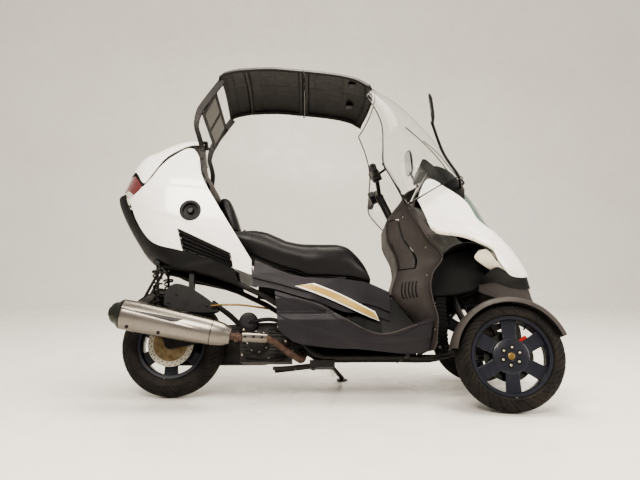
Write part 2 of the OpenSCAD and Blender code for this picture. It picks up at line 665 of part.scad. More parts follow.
// Storage bucket under the seat
bucket_rear = 520;
bucket_front = 850;
bucket_half = 125;
bucket_floor = 440;
bucket_top = lookup(700, seat_low) - fit;
seat_hinge = [950, 0, 538];
hinge_pin_d = 10;
module seat_bucket()
    color("#323234") leaned() {
        difference() {
            translate([bucket_rear, -bucket_half, bucket_floor])
                cube([bucket_front - bucket_rear, 2 * bucket_half, bucket_top - bucket_floor]);
            translate([bucket_rear + panel, -bucket_half + panel, bucket_floor + panel])
                cube([bucket_front - bucket_rear - 2 * panel, 2 * (bucket_half - panel), 200]);
        }
        translate([bucket_front - panel, -20,
            seat_hinge.z - 10]) cube([seat_hinge.x - bucket_front + panel + 8, 40, 18]);
        translate(seat_hinge) rotate([90, 0, 0]) cylinder(d = hinge_pin_d, h = 96, center = true);
    }

// Passenger's pad on the moulded panel that closes the front of the tail
function pad_round(c) = sign(c) * pow(abs(c), 0.6);
closing = [[735, 262], [790, 226], [850, 212], [900, 206], [985, 210], [1050, 182], [1100, 154], [1148,
    128], [1200, 116],
    [1235, 110], [1270, 106], [1298, 104]];
closing_bow = 24;
closing_gap = 2.4;
closing_top = [[1060, 214], [1090, 178], [1148, 178], [1200, 168], [1235, 154], [1270, 122], [1298, 80]];
function closing_half(x, z) = min(tail_half(x, z) - panel - closing_gap, z < 1060 ? tail_w : lookup(z,
    closing_top));

module backrest()
    color("#252527") leaned() {
        translate([0, 0, 8]) loft([for (s = [[0, 0.86], [0.08, 0.96], [0.5, 1], [0.85, 0.92], [1, 0.8]])
            [for (i = [0:15]) let (t = i * 22.5)
                [pad_front - 36 - 62 * s[0] + 34 * s[1] * pad_round(cos(t)),
                    pad_half * s[1] * pad_round(sin(t)),
                    795 + 190 * s[0]]]]);
        panel_rows = [for (c = closing) let (w = closing_half(c[1] - closing_bow, c[0]))
            [for (v = [-1:0.25:1]) [c[1] - closing_bow * pow(abs(v), 2.5), v * w, c[0]]]];
        sheet([for (r = panel_rows) [for (q = r) q - [6, 0, 0]]], panel_rows);
        translate(lid_hinge) rotate([90, 0, 0]) cylinder(d = 8, h = 112, center = true);
        translate([98, -14, 1290]) cube([14, 28, 20]);
        translate([106, -14, 1302]) cube([18, 28, 24]);
    }

// Dark flank under the seat, running in to the tunnel's width at the front, with a sunk band along its foot
function side_half(x, z) = let (k = smooth((x - 660) / 330)) mid_half(x, z) * (1 - k) + (tunnel_w + 20) * k;
function on_side(rows, depth, band) =
    [for (r = rows) [for (j = [0:len(r) - 1]) let (p = r[j]) [p.x, -(side_half(p.x,
        p.y) - depth - (j < 2 ? band : 0)), p.y]]];
module side_covers() {
    low = curve([[394, 518], [440, 510], [492, 502], [620, 462], [720, 432], [830, 396], [930, 390], [1010,
        372],
        [1060, 352]], 2);
    high = curve([[403, 650], [470, 618], [560, 582], [640, 560], [730, 556], [800, 556], [880, 552], [960,
        540],
        [1062, 494]], 2);
    rows = between(low, high, 5);
    color("#333236") leaned() both_sides() {
        sheet(on_side(rows, 2, 10), on_side(rows, 2 + panel, 10));
        for (p = [[600, 530], [780, 500]]) {
            translate([p.x, -side_half(p.x, p.y) + 4, p.y]) rotate([-90, 0, 0])
                cylinder(d = 14, h = side_half(p.x, p.y) - 4 - bucket_half - fit);
        }
    }
}

// Foot boards either side of the tunnel, and the tunnel's own top and flanks
floor_line = [[620, 372], [720, 362], [831, 340], [883, 308], [946, 279], [1026, 268], [1089, 277], [1200,
    326]];
tunnel_top = [[700, 425], [852, 425], [870, 500], [940, 500], [1075, 490]];
module floor_boards() {
    function ring(x) = let (z = lookup(x, floor_line), top = lookup(x, tunnel_top),
            edge = mid_half(x, z) - panel - 3,
            foot = [for (k = [0:4]) [edge - (edge - tunnel_w - 4) * k / 4, z - 3 * sin(k * 45)]],
            flank = [[tunnel_w, z + 8], [tunnel_w - 10, top - 20], [tunnel_w - 30, top]])
        concat([for (q = concat(foot, flank)) [x, -q.x, q.y]], [[x, 0, top + 4]],
            [for (k = [7:-1:0]) let (q = concat(foot, flank)[k]) [x, q.x, q.y]]);
    outer = concat([for (x = [760:45:850]) ring(x)], [for (x = [870:50:1020]) ring(x)],
        [[for (q = ring(1170)) [shield_x(q.y, q.z) - 0.8, q.y, q.z]]]);
    inner = [for (r = outer) [for (q = r) [q.x, abs(q.y) > tunnel_w + 1 ? q.y : q.y * 0.96, q.z - panel]]];
    color("#28282a") leaned() sheet(outer, inner);
}

module belly_pans() {
    low = curve([[525, 300], [600, 245], [681, 228], [790, 216], [900, 212], [1048, 197], [1150, 190],
        [1230, 202]], 2);
    high = curve([[505, 488], [620, 452], [740, 416], [831, 350], [946, 288], [1089, 286], [1180, 330],
        [1250, 350]], 2);
    rows = between(low, high, 5);
    color("#57565a") leaned() both_sides()
        sheet(on_mid(rows), on_mid(rows, panel));
}

// Leg shield: from the wheel arches back to the raised middle that carries the glove box
shield_outer = [[202, 1240], [247, 1254], [346, 1263], [424, 1246], [496, 1236], [558, 1248], [644, 1300],
    [746, 1226],
    [914, 1150], [950, 1135]];
shield_rear = [[202, 1230], [346, 1180], [494, 1076], [617, 1104], [662, 1099], [782, 1056], [845, 1056],
    [902, 1086], [955, 1131], [1000, 1180], [1040, 1235]];
function shield_x(y, z) = let (m = smooth((abs(y) - 95) / 150) * smooth((1010 - z) / 60))
    lookup(z, shield_rear) * (1 - m) + lookup(z, shield_outer) * m;
column_d = 30;
glove = [[980, -168, 602], [340, 56, 256]];
seam = 5;
module leg_shield() {
    zs = [for (z = [205:52:725]) z];
    zt = [760, 782, 812, 845, 874, 902, 928, 955, 990, 1020];
    function row(z, dx) = let (w = min(250, lookup(z, [[900, 250], [1020, 188]])))
        [for (v = [-1:0.125:1]) [shield_x(w * v, z) + dx, w * v, z]];
    all_z = concat(zs, zt);
    trim_in = curve([[1156, 918], [1172, 868], [1208, 800], [1234, 758]], 2);
    trim_out = curve([[1204, 930], [1192, 894], [1216, 842], [1278, 774]], 2);
    trim = between(trim_in, trim_out, 3);
    color("#4b4a4d") leaned() {
        difference() {
            sheet([for (z = all_z) row(z, 0)], [for (z = all_z) row(z, panel + 2)]);
            translate(glove[0]) cube(glove[1]);
            column_at(-330) cylinder(d = column_d + 20 + 2 * running, h = 240);
            glove_pin(0.03, -0.02, glove_pin_d + 2 * pin_fit);
            glove_pin(0.97, 1.02, glove_pin_d + 2 * pin_fit);
        }
        both_sides() sheet(front_skin(trim, panel + fit), front_skin(trim, 2 * panel + fit));
    }
}

// Steering column's axis, with its zero at the middle of the bar
bar_centre = [1000, 0, 1076];
column_tilt = 24;
column_x = 20;
module column_at(z) translate(bar_centre) rotate([0, -column_tilt, 0]) translate([column_x, 0, z]) children();

function smooth(t) = let (u = min(max(t, 0), 1)) u * u * (3 - 2 * u);

module glove_lid() {
    zs = [for (i = [0:8]) glove[0].z + seam + (glove[1].z - 2 * seam) * i / 8];
    ys = [for (i = [0:4]) glove[0].y + seam + (glove[1].y - 2 * seam) * i / 4];
    function grid(dx) = [for (z = zs) [for (y = ys) [shield_x(y, z) + dx, y, z]]];
    color("#47464a") leaned() {
        sheet(grid(-1), grid(panel - 1));
        glove_pin(0.03, -0.015, glove_pin_d);
        glove_pin(0.97, 1.015, glove_pin_d);
    }
}

// Pivot line of the glove lid, through its thickness near the outer edge
glove_pin_d = 3;
glove_pivot_y = glove[0].y + seam + 6;
function glove_axis(t) = let (z = glove[0].z, h = glove[1].z)
    [(1 - t) * shield_x(glove_pivot_y, z) + t * shield_x(glove_pivot_y, z + h) + 2, glove_pivot_y, z + t * h];
module glove_pin(t0, t1, d) rod(glove_axis(t0), glove_axis(t1), d);

// White front cowl, closing on the nose below the headlamp
module front_cowl() {
    low = curve([[1262, 781], [1300, 757], [1407, 745], [1504, 718], [1572, 688], [1600, 640], [1660, 580],
        [1740, 575],
        [1788, 596]], 2);
    high = curve([[1200, 935], [1262, 1052], [1360, 1004], [1455, 940], [1510, 850], [1590, 806], [1660, 788],
        [1715, 728], [1792, 600]], 2);
    rows = between(low, high, 6);
    color("#f1f0ec") leaned() both_sides()
        sheet(front_skin(rows, 0), front_skin(rows, panel));
}

// Black top of the cowl, from the white edge over to the middle
module cowl_top() {
    low = curve([[1210, 935], [1264, 1040], [1360, 992], [1440, 944], [1462, 1008]], 3);
    high = curve([[1215, 985], [1290, 1125], [1370, 1130], [1446, 1086], [1488, 1048]], 3);
    rows = between(low, high, 3);
    depth = panel + 1.5;
    skin = front_skin(rows, depth);
    color("#161618") leaned() {
        sheet(whole(skin, 16), whole(sunk(skin, panel * [0, 1, -1]), 16));
        for (s = [-1, 1]) {
            screen_boss([1424, s * 104, 1082], s * 30, 0.25);
            screen_boss([1294, s * 194, 1062], s * 58, 0.5);
        }
    }
}

// Lamp glass set behind the edges of the cowl
module headlamp() {
    low = curve([[1458, 916], [1510, 836], [1588, 796], [1632, 788]], 2);
    high = curve([[1466, 1010], [1560, 930], [1600, 866], [1646, 800]], 2);
    rows = between(low, high, 4);
    depth = panel + 3;
    color("#7fa79b") leaned()
        sheet(whole(front_skin(rows, depth)), whole(front_skin(rows, depth + 7)));
}

// Dark bumper below the nose, narrow at its foot so that the turned wheels pass beside it
module chin() {
    low = curve([[1520, 500], [1600, 476], [1700, 462], [1770, 458], [1824, 458]], 2);
    high = curve([[1520, 560], [1594, 612], [1664, 590], [1740, 585], [1784, 604]], 2);
    rows = between(low, high, 4);
    depth = panel + 2.4;
    color("#3b3a3c") leaned() both_sides()
        sheet(front_skin(rows, depth), front_skin(rows, depth + panel));
}

// Black liners: the arch over each wheel and the wall beside the carrier
arch_centre = [1450, 480];
module arch_liners() {
    arch = curve([[1248, 490], [1275, 580], [1312, 655], [1375, 702], [1468, 720], [1550, 688], [1590,
        640]], 2);
    wall = 92;
    function skin(out) = [for (p = arch) let (v = p - arch_centre, q = p + out * v / norm(v))
        [for (f = [1:-0.25:0]) [q.x, -wall - f * (front_half(p.x + panel + 2,
            p.y) - panel + 2 * fit - wall), q.y]]];
    color("#1b1b1d") leaned() both_sides() {
        sheet(skin(panel), skin(0));
        translate([0, -wall, 0]) rotate([90, 0, 0]) mirror([0, 0, 1]) linear_extrude(height = panel)
            polygon([each [for (p = arch) p + 2 * (p - arch_centre) / norm(p - arch_centre)], [1530, 600],
                [1400, 500]]);
    }
}

// Ribbed cooler between the front wheels
cooler_half = 84;
module radiator()
    color("#141416") leaned() {
        translate([1296, -cooler_half, 240]) {
            translate([4, 4, 0]) cube([42, 2 * cooler_half - 8, 300]);
            for (i = [0:14]) {
                translate([0, 0, 6 + i * 20]) cube([50, 2 * cooler_half, 10]);
            }
        }
        for (s = [-1, 1]) {
            translate([1321, s * 67, 207]) cylinder(d = 16, h = 40);
        }
    }

// Windscreen: one wrap-round sheet, each row a half ellipse from edge to edge
screen_middle = [[1120, 1486], [1190, 1430], [1290, 1360], [1378, 1290], [1470, 1205], [1536, 1130], [1578,
    1066],
    [1592, 1036]];
screen_edge = [[880, 1134, 296], [935, 1100, 332], [1004, 1054, 368], [1068, 1020, 380], [1165, 1024, 365],
    [1285, 1028, 325], [1390, 1004, 288], [1492, 960, 250]];
function screen_point(i, t, inset = 0) = let (e = screen_edge[i], c = screen_middle[i])
    [e[1] + (c[1] - e[1] - inset) * cos(t), (e[2] - inset) * sin(t), e[0] + (c[0] - e[0]) * cos(t)];
// Boss from the cowl to the inner face of the screen near its foot
screen_seat = 11;
module screen_boss(root, t, up) {
    inset = screen_t + screen_seat;
    tip = (1 - up) * screen_point(0, t, inset) + up * screen_point(1, t, inset);
    rod(root, tip, 12);
    translate(tip) sphere(d = 18, $fn = 24);
}

module windscreen()
    color("#c4d2d0", 0.4) leaned()
        sheet([for (i = [0:7]) [for (t = [90:-15:-90]) screen_point(i, t)]],
            [for (i = [0:7]) [for (t = [90:-15:-90]) screen_point(i, t, screen_t)]]);

module wiper()
    color("#131315") leaned() {
        bent_tube(curve([[1504, 20, 1120], [1462, 32, 1186], [1384, 48, 1306], [1312, 84, 1396]], 3), 10,
            sides = 6);
        bent_tube(curve([[1450, 90, 1200], [1388, 88, 1296], [1306, 88, 1392], [1216, 88, 1480]], 3), 9,
            sides = 6);
        rod([1470.6, 20, 1076.6], [1504, 20, 1122], 14);
    }

module mirrors()
    color("#18181a") leaned() both_sides() {
        bent_tube(curve([[1440, -148.4, 1030], [1412, -226, 1064], [1328, -292, 1160], [1270, -338, 1306]],
            4), 14,
            [1, 0, 0], 8);
        translate([1256, -342, 1365]) rotate([0, -4, -10]) hull() {
            translate([6, 0, 0]) rotate([0, 90, 0]) linear_extrude(height = 8)
                offset(r = 24, $fn = 32) square([104, 62], center = true);
            translate([22, 0, 0]) rotate([0, 90, 0]) linear_extrude(height = 4)
                offset(r = 18, $fn = 32) square([70, 34], center = true);
        }
    }

// Roof skin: crowned across, rolled down at its long edges
roof_edge = [[205, 1605], [235, 1630], [340, 1653], [472, 1659], [615, 1648], [788, 1629], [900, 1604],
    [975, 1562]];
function roof_z(x, v) = lookup(x, roof_edge) + roof_crown * (1 - v * v) - 18 * pow(abs(v), 30);
function roof_row(x, inset) = [for (v = [-1, -0.97, -0.9, -0.6, -0.3, 0, 0.3, 0.6, 0.9, 0.97, 1])
    [x, v * (roof_half - inset * (abs(v) > 0.95 ? 1 : 0)), roof_z(x, v) - inset]];
// The front edge bows forward in the middle to meet the windscreen
function bowed(rows) = [for (r = rows) [for (q = r)
    [q.x + 46 * smooth((q.x - 840) / 130) * (1 - pow(q.y / roof_half, 2)), q.y, q.z]]];
roof_split = 640;
roof_pivot = [roof_split, 0, roof_z(roof_split, 0) + 10];
module roof_hinge(side, ys)
    for (y = ys) {
        difference() {
            hull() {
                translate([roof_pivot.x, y, roof_pivot.z]) rotate([90, 0, 0]) cylinder(d = 14, h = 20,
                    center = true, $fn = 32);
                translate([roof_pivot.x + side * 34, y - 10, roof_z(roof_split,
                    y / roof_half) - 5]) cube([10, 20, 4]);
            }
            translate([roof_pivot.x, y, roof_pivot.z]) rotate([90, 0, 0]) cylinder(d = 6 + 2 * pin_fit,
                h = 40, center = true);
        }
    }

module roof_rear()
    color("#1d1c1e") leaned() {
        roof_hinge(-1, [-52, 52]);
        translate(roof_pivot) rotate([90, 0, 0]) cylinder(d = 6, h = 126, center = true);
        roof_skin([205, 235, 270, 326, 330, 346, 350, 400, 472, 560, 614, 618, 632, roof_split - 4]);
    }

// Skin with its stiffening ribs moulded on below
roof_ribs = [[326, 0], [330, 14], [346, 14], [350, 0], [614, 0], [618, 14], [632, 14], [roof_split - 4, 0],
    [roof_split + 4, 0], [648, 14], [662, 14], [666, 0], [940, 0], [944, 14], [960, 14], [964, 0]];
module roof_skin(xs)
    sheet(bowed([for (x = xs) roof_row(x, 0)]), bowed([for (x = xs) roof_row(x, roof_t + lookup(x,
        roof_ribs))]));

module roof_front()
    color("#1f1e20") leaned() {
        roof_skin([roof_split + 4, 648, 662, 666, 720, 788, 850, 900, 940, 944, 960, 964, 974]);
        roof_hinge(1, [-30, 30]);
    }

// Roof pillars, each a bent flat bar that stands beside the closing panel, with the rear window frame between them
pillar_y = roof_half - 22;
pillar_t = 12;
window_place = [157, 0, 1462];
window_tilt = 25;
pane = [176, 112];
pane_y = 102;
module window() translate(window_place) rotate([0, window_tilt, 0]) children();
module roof_frame() {
    foot_y = lookup(1125, closing_top) + fit + pillar_t / 2;
    top = [222, -pillar_y, roof_z(205, 0.92) - roof_t - 14.4];
    path = curve([[119, -foot_y, 1112], [123, -foot_y, 1150], [127, -foot_y, 1215], [113, -206, 1276], [98,
        -222, 1332],
        [108, -pillar_y, 1398], [132, -pillar_y, 1450], top], 2);
    color("#1a1a1c") leaned() {
        both_sides() flat_bar(path, [for (i = [0:len(path) - 1]) lookup(path[i].z, [[1330, 24], [1420,
            34]])], pillar_t);
        window() difference() {
            cube([8, 2 * pillar_y - 10, pane.y + 38], center = true);
            for (s = [-1, 1]) {
                translate([0, s * pane_y, 0]) cube([30, pane.x, pane.y], center = true);
            }
        }
    }
}

module rear_panes()
    color("#3c3b36", 0.6) leaned() window()
        for (s = [-1, 1]) {
            translate([0, s * pane_y, 0]) cube([3, pane.x - 2 * fit, pane.y - 2 * fit], center = true);
        }

module instrument_pod()
    color("#37373a") leaned() {
        hull() {
            translate([1240, -96, 1134]) cube([16, 192, 24]);
            translate([1262, -92, 1186]) cube([18, 184, 22]);
            translate([1318, -70, 1164]) cube([12, 140, 12]);
        }
    }

// Handlebar with grips, levers, switch pods and column, turned with the front wheels
column_long = 430;
module handlebar()
    color("#1f1f22") leaned() translate(bar_centre) rotate([0, -column_tilt, 0])
        translate([column_x, 0, 0]) rotate([0, 0, -steer_rest]) translate([-column_x, 0, 0]) {
            both_sides() {
                difference() {
                    union() {
                        rod([20, 0, -60], [30, -120, 0], bar_d);
                        rod([30, -120, 0], [0, -bar_half, 0], bar_d);
                        translate([30, -120, 0]) sphere(d = bar_d + 6, $fn = 24);
                        rod([11, -bar_half + 120, 0], [0.8, -bar_half + 8, 0], 34);
                    }
                    rod([0, -bar_half - 1, 0], [2.6, -bar_half + 28, 0], bar_bore);
                }
                translate([18, -195, -4]) rotate([0, 90, 0]) cylinder(d = 58, h = 44, center = true);
                rod([44, -196, 0], [70, -240, -6], 12);
                rod([70, -240, -6], [56, -336, -6], 10);
            }
            translate([20, 0, -62]) sphere(d = 44, $fn = 32);
            translate([20, 0, -62 - 180]) cylinder(d = column_d + 10, h = 180);
            translate([20, 0, -column_long]) cylinder(d = column_d, h = column_long - 62);
        }

module knuckle_right() knuckle(right);
module knuckle_left() knuckle(left);
module fender_right() fender(right);
module fender_left() fender(left);
module front_rim_right() front_rim(right);
module front_rim_left() front_rim(left);
module front_tyre_right() front_tyre(right);
module front_tyre_left() front_tyre(left);

// Underbone frame: two rails under the floor and up to the tail, the carrier between the front wheels,
// and the post that holds the steering head
rail_d = tube_d * 0.8;
rail_y = bucket_half + fit + rail_d / 2;
rail_low = 186;
module frame() {
    rail = curve([[1494, -28, 250], [1400, -50, 212], [1280, -76, 184], [1130, -84, rail_low], [900, -84,
        rail_low],
        [780, -84, rail_low], [704, -84, rail_low + 8], [630, -92, 262], [572, -rail_y, 398], [300, -rail_y,
            545], [100, -122, 604],
        [-66, -92, 640]], 2);
    post = curve([[1494, 0, 272], [1424, 0, 420], [1380, 0, 552], [1290, 0, 604], [1215, 0, 690]], 2);
    color("#242528") leaned() {
        both_sides() bent_tube(rail, rail_d, sides = 8);
        bent_tube(post, tube_d, sides = 8);
        translate([520, -rail_y, bucket_floor - fit - 10]) rotate([-90, 0, 0]) cylinder(d = 20,
            h = 2 * rail_y);
        translate([shock_head.x, shock_head.y - 18, shock_head.z]) rotate([-90, 0, 0])
            cylinder(d = shock_pin_d, h = 36 + left_shock_y - shock_head.y);
        translate([shock_head.x, shock_head.y + 15 + fit, shock_head.z]) rotate([-90, 0, 0])
            cylinder(d = head_tube_d, h = left_shock_y - shock_head.y - 30 - 2 * fit);
        translate([1130, -mid_half(1130, 190) + panel + fit, rail_low]) rotate([-90, 0, 0])
            cylinder(d = 20, h = 2 * (mid_half(1130, 190) - panel - fit));
        for (side = [-1, 1]) {
            translate([20, side * 106, 620]) cylinder(d = 20, h = trunk_floor - fit - 620);
        }
        translate([wheelbase - 90, -carrier_w, 180]) cube([180, 2 * carrier_w, 130]);
        difference() {
            column_at(-column_long - 20) cylinder(d = column_d + 18, h = 120);
            column_at(-column_long - 30) cylinder(d = column_d + 2 * pin_fit, h = 140);
        }
    }
}

// Plate below the rails with the pivots of both stands
stand_pivot = [745, 122, 200];
stand_axis = [-0.17, 0.836, 0.522] / norm([-0.17, 0.836, 0.522]);
stand_foot = [849, 364, 0];
centre_pivot = [690, 0, 150];
pivot_d = 14;
module stand_bracket()
    color("#191a1b") leaned() {
        difference() {
            union() {
                translate([centre_pivot.x - 18, -96, centre_pivot.z - 12])
                    cube([120, 192, rail_low - rail_d / 2 - 0.9 - centre_pivot.z + 12]);
                rod([stand_pivot.x, 90, centre_pivot.z - 4], stand_pivot - 7 * stand_axis, 18);
                rod(stand_pivot - 12 * stand_axis, stand_pivot - fit * stand_axis, 36);
            }
            for (y = [-72 - fit, 52 - fit]) {
                translate([centre_pivot.x - 30, y, centre_pivot.z - 30]) cube([50, 20 + 2 * fit, 60]);
            }
        }
        translate([centre_pivot.x, -96, centre_pivot.z]) rotate([-90, 0, 0]) cylinder(d = pivot_d, h = 192);
        rod(stand_pivot - 12 * stand_axis, stand_pivot + 28 * stand_axis, pivot_d);
    }

module side_stand()
    color("#1a1a1b") leaned() {
        foot_z = stand_foot.y * tan(lean);
        foot = [stand_foot.x, stand_foot.y, foot_z + 8];
        difference() {
            union() {
                rod(stand_pivot + 11 * stand_axis, foot + [0, 0, 6], stand_d);
                rod(stand_pivot, stand_pivot + 22 * stand_axis, 36);
            }
            rod(stand_pivot - 20 * stand_axis, stand_pivot + 40 * stand_axis, pivot_d + 2 * pin_fit);
        }
        translate([foot.x, foot.y, foot_z]) rotate([lean, 0, 0]) cylinder(d = 58, h = 7);
    }

// Two-legged stand folded back under the engine
module centre_stand()
    color("#1c1c1d") leaned() {
        for (side = [-1, 1]) {
            difference() {
                union() {
                    translate(centre_pivot + [0, side * 62, 0]) rotate([90, 0, 0])
                        cylinder(d = 34, h = 20, center = true);
                    bent_tube([[680, side * 62, 148.9], [612, side * 63, 142], [570, side * 66, 137],
                        [545, side * 74, 135], [500, side * 100, 132]], 18, sides = 12);
                }
                translate(centre_pivot) rotate([90, 0, 0]) cylinder(d = pivot_d + 2 * pin_fit, h = 200,
                    center = true);
            }
        }
        rod([600, -60, 141], [600, 60, 141], 14);
    }

frame();
engine();
swing_arm();
rear_shocks();
rear_mudguard();
muffler();
exhaust_pipe();
air_box();
tail_panels();
tail_trim();
tail_lamps();
trunk_box();
trunk_lid();
seat();
seat_bucket();
backrest();
side_covers();
floor_boards();
belly_pans();
leg_shield();
glove_lid();
front_cowl();
cowl_top();
headlamp();
chin();
arch_liners();
radiator();
windscreen();
wiper();
mirrors();
roof_front();
roof_rear();
roof_frame();
rear_panes();
instrument_pod();
handlebar();
suspension_arms();
knuckle_right();
knuckle_left();
fender_right();
fender_left();
front_rim_right();
front_rim_left();
front_tyre_right();
front_tyre_left();
rear_rim();
rear_tyre();
rear_disc();
stand_bracket();
side_stand();
centre_stand();
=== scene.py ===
import json
from math import cos, pi, radians, sin

import bpy
import numpy as np
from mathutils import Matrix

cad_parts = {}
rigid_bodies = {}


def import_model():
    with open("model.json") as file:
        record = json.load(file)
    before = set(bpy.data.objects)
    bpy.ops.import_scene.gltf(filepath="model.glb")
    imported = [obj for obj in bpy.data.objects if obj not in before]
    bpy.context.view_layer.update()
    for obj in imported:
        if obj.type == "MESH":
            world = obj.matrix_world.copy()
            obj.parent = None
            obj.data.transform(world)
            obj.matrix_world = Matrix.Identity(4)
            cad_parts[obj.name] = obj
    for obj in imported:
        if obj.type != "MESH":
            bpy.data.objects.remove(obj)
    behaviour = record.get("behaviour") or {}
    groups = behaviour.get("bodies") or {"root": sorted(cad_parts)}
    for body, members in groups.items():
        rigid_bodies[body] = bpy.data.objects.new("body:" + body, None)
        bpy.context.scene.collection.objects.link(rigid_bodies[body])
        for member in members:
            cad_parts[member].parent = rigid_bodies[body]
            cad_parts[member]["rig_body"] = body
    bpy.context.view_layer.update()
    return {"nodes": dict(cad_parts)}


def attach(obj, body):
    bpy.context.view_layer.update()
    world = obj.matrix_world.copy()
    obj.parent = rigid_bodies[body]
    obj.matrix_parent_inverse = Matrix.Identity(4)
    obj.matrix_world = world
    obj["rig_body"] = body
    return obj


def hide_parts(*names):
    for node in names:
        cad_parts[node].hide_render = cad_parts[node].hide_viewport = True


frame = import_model()
NODES = frame["nodes"]

LEAN, TURN, WHEELBASE, TRACK, KINGPIN_IN = radians(15), radians(5), 1577, 600, 85
REAR_D, REAR_W, REAR_RIM, FRONT_D, FRONT_W, FRONT_RIM = 501, 140, 305, 486, 130, 330
REAR_Z = REAR_D / 2 - REAR_W * 0.54 + REAR_W * 0.54 / cos(LEAN)
PANEL = 4
BAR_CENTRE, COLUMN_TILT, COLUMN_X, BAR_HALF = (1000, 0, 1076), radians(24), 20, 348


# Places
def row(p):
    """Vehicle frame in mm to row frame in m: turned by the lean about X, then moved to the row's origin."""
    p = np.asarray(p, float)
    x, y, z = p[..., 0], p[..., 1], p[..., 2]
    return np.stack([x - 762.5, y * cos(LEAN) + z * sin(LEAN) - 195.6, z * cos(LEAN) - y * sin(LEAN)], -1) / 1000


def at_rear(p):
    """Rear wheel's own frame, its axle along Y, to the row frame."""
    return row(np.asarray(p, float) + [0, 0, REAR_Z])


def steered(side):
    """Frame of a front corner: kingpin upright through the origin, outboard along -Y, turned by TURN."""
    crown = FRONT_W * 0.51
    lift = FRONT_D / 2 - crown + crown / cos(LEAN) + side * TRACK / 2 * np.tan(LEAN)

    def place(p):
        p = np.asarray(p, float)
        x, y, z = p[..., 0], p[..., 1] * -side, p[..., 2]
        across = side * (TRACK / 2 - KINGPIN_IN)
        out = [x * cos(TURN) + y * sin(TURN) + WHEELBASE, y * cos(TURN) - x * sin(TURN) + across]
        return row(np.stack(out + [z + lift], -1))
    return place


def at_front(side):
    """Front wheel's own frame, its open face towards -Y."""
    return lambda p: steered(side)(np.asarray(p, float) - [0, KINGPIN_IN, 0])


def at_bar(p):
    """Handlebar's own frame: X forward, Y along the bar, tilted with the column and turned with the wheels."""
    p = np.asarray(p, float)
    x, y, z = p[..., 0] - COLUMN_X, p[..., 1], p[..., 2]
    a, b = x * cos(TURN) + y * sin(TURN) + COLUMN_X, y * cos(TURN) - x * sin(TURN)
    c, s = cos(COLUMN_TILT), sin(COLUMN_TILT)
    return row(np.stack([a * c - z * s, b, a * s + z * c], -1) + BAR_CENTRE)


# Curves and tables
def lookup(t, table):
    """Smooth line through a table: a cubic in each span, its slopes the harmonic mean of the spans beside it."""
    x, y = np.array(table, float).T
    d = np.diff(y) / np.diff(x)
    same = d[:-1] * d[1:] > 0
    mean = np.where(same, 2 * d[:-1] * d[1:] / np.where(same, d[:-1] + d[1:], 1), 0)
    m = np.concatenate([d[:1], mean, d[-1:]])
    t = np.clip(t, x[0], x[-1])
    k = np.clip(np.searchsorted(x, t, side="right") - 1, 0, len(x) - 2)
    h = x[k + 1] - x[k]
    s = (t - x[k]) / h
    slopes = h * s * (1 - s) * (m[k] * (1 - s) - m[k + 1] * s)
    return y[k] * (1 + 2 * s) * (1 - s) ** 2 + y[k + 1] * s * s * (3 - 2 * s) + slopes


def curve(points, steps):
    """Smooth curve through control points, as many steps in each span, its tangents from the neighbours."""
    p = np.array(points, float)
    q = np.vstack([p[:1], p, p[-1:]])
    a, b, c, d = (v[:, None] for v in (q[:-3], q[1:-2], q[2:-1], q[3:]))
    s = (np.arange(steps) / steps)[None, :, None]
    out = 0.5 * (2 * b + (c - a) * s + (2 * a - 5 * b + 4 * c - d) * s ** 2 + (3 * b - 3 * c + d - a) * s ** 3)
    return np.vstack([out.reshape(-1, p.shape[1]), p[-1:]])


def between(low, high, n):
    """Grid of points that runs straight from each point of a low curve to its partner on a high one."""
    t = np.linspace(0, 1, n + 1)[None, :, None]
    return low[:, None] * (1 - t) + high[:, None] * t


def smooth(t):
    """0 below 0, 1 above 1, with an even S between."""
    t = np.clip(t, 0, 1)
    return t * t * (3 - 2 * t)


def other(p):
    """The same grid on the other side of the middle plane, still facing outward."""
    return p[:, ::-1] * [1, -1, 1]


def whole(p, rise=0, n=10):
    """Grid carried over the middle plane to the other side, its middle raised by a parabola of height rise."""
    e = p[:, -1:]
    k = np.linspace(1, 0, n + 1)[1:, None] if rise else np.zeros((1, 1))
    middle = np.stack([e[..., 0] + 0 * k.T, e[..., 1] * k.T, e[..., 2] + rise * (1 - k.T ** 2)], -1)
    half = np.concatenate([p if rise else p[:, :-1], middle], 1)
    return np.concatenate([half, half[:, -2::-1] * [1, -1, 1]], 1)


# Meshes
def build(name, points, faces, finish, node, swap=False, shell=0, edge=0, sharp=38):
    """Mesh object in the row frame; it rides with a node's body and has a finish, a wall and soft edges."""
    me = bpy.data.meshes.new(name)
    me.from_pydata(np.asarray(points).reshape(-1, 3).tolist(), [], faces)
    me.validate()
    me.shade_smooth()
    me.set_sharp_from_angle(angle=radians(sharp))
    ob = bpy.data.objects.new(name, me)
    bpy.context.scene.collection.objects.link(ob)
    me.materials.append(finish[0])
    if shell:
        m = ob.modifiers.new("wall", "SOLIDIFY")
        m.thickness, m.offset = shell / 1000, -1
    if edge:
        m = ob.modifiers.new("edge", "BEVEL")
        m.width, m.segments, m.harden_normals = edge / 1000, 2, True
        m.limit_method, m.angle_limit = "ANGLE", radians(38)
    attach(ob, NODES[node]["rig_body"])
    if swap:
        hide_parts(node)
    return ob


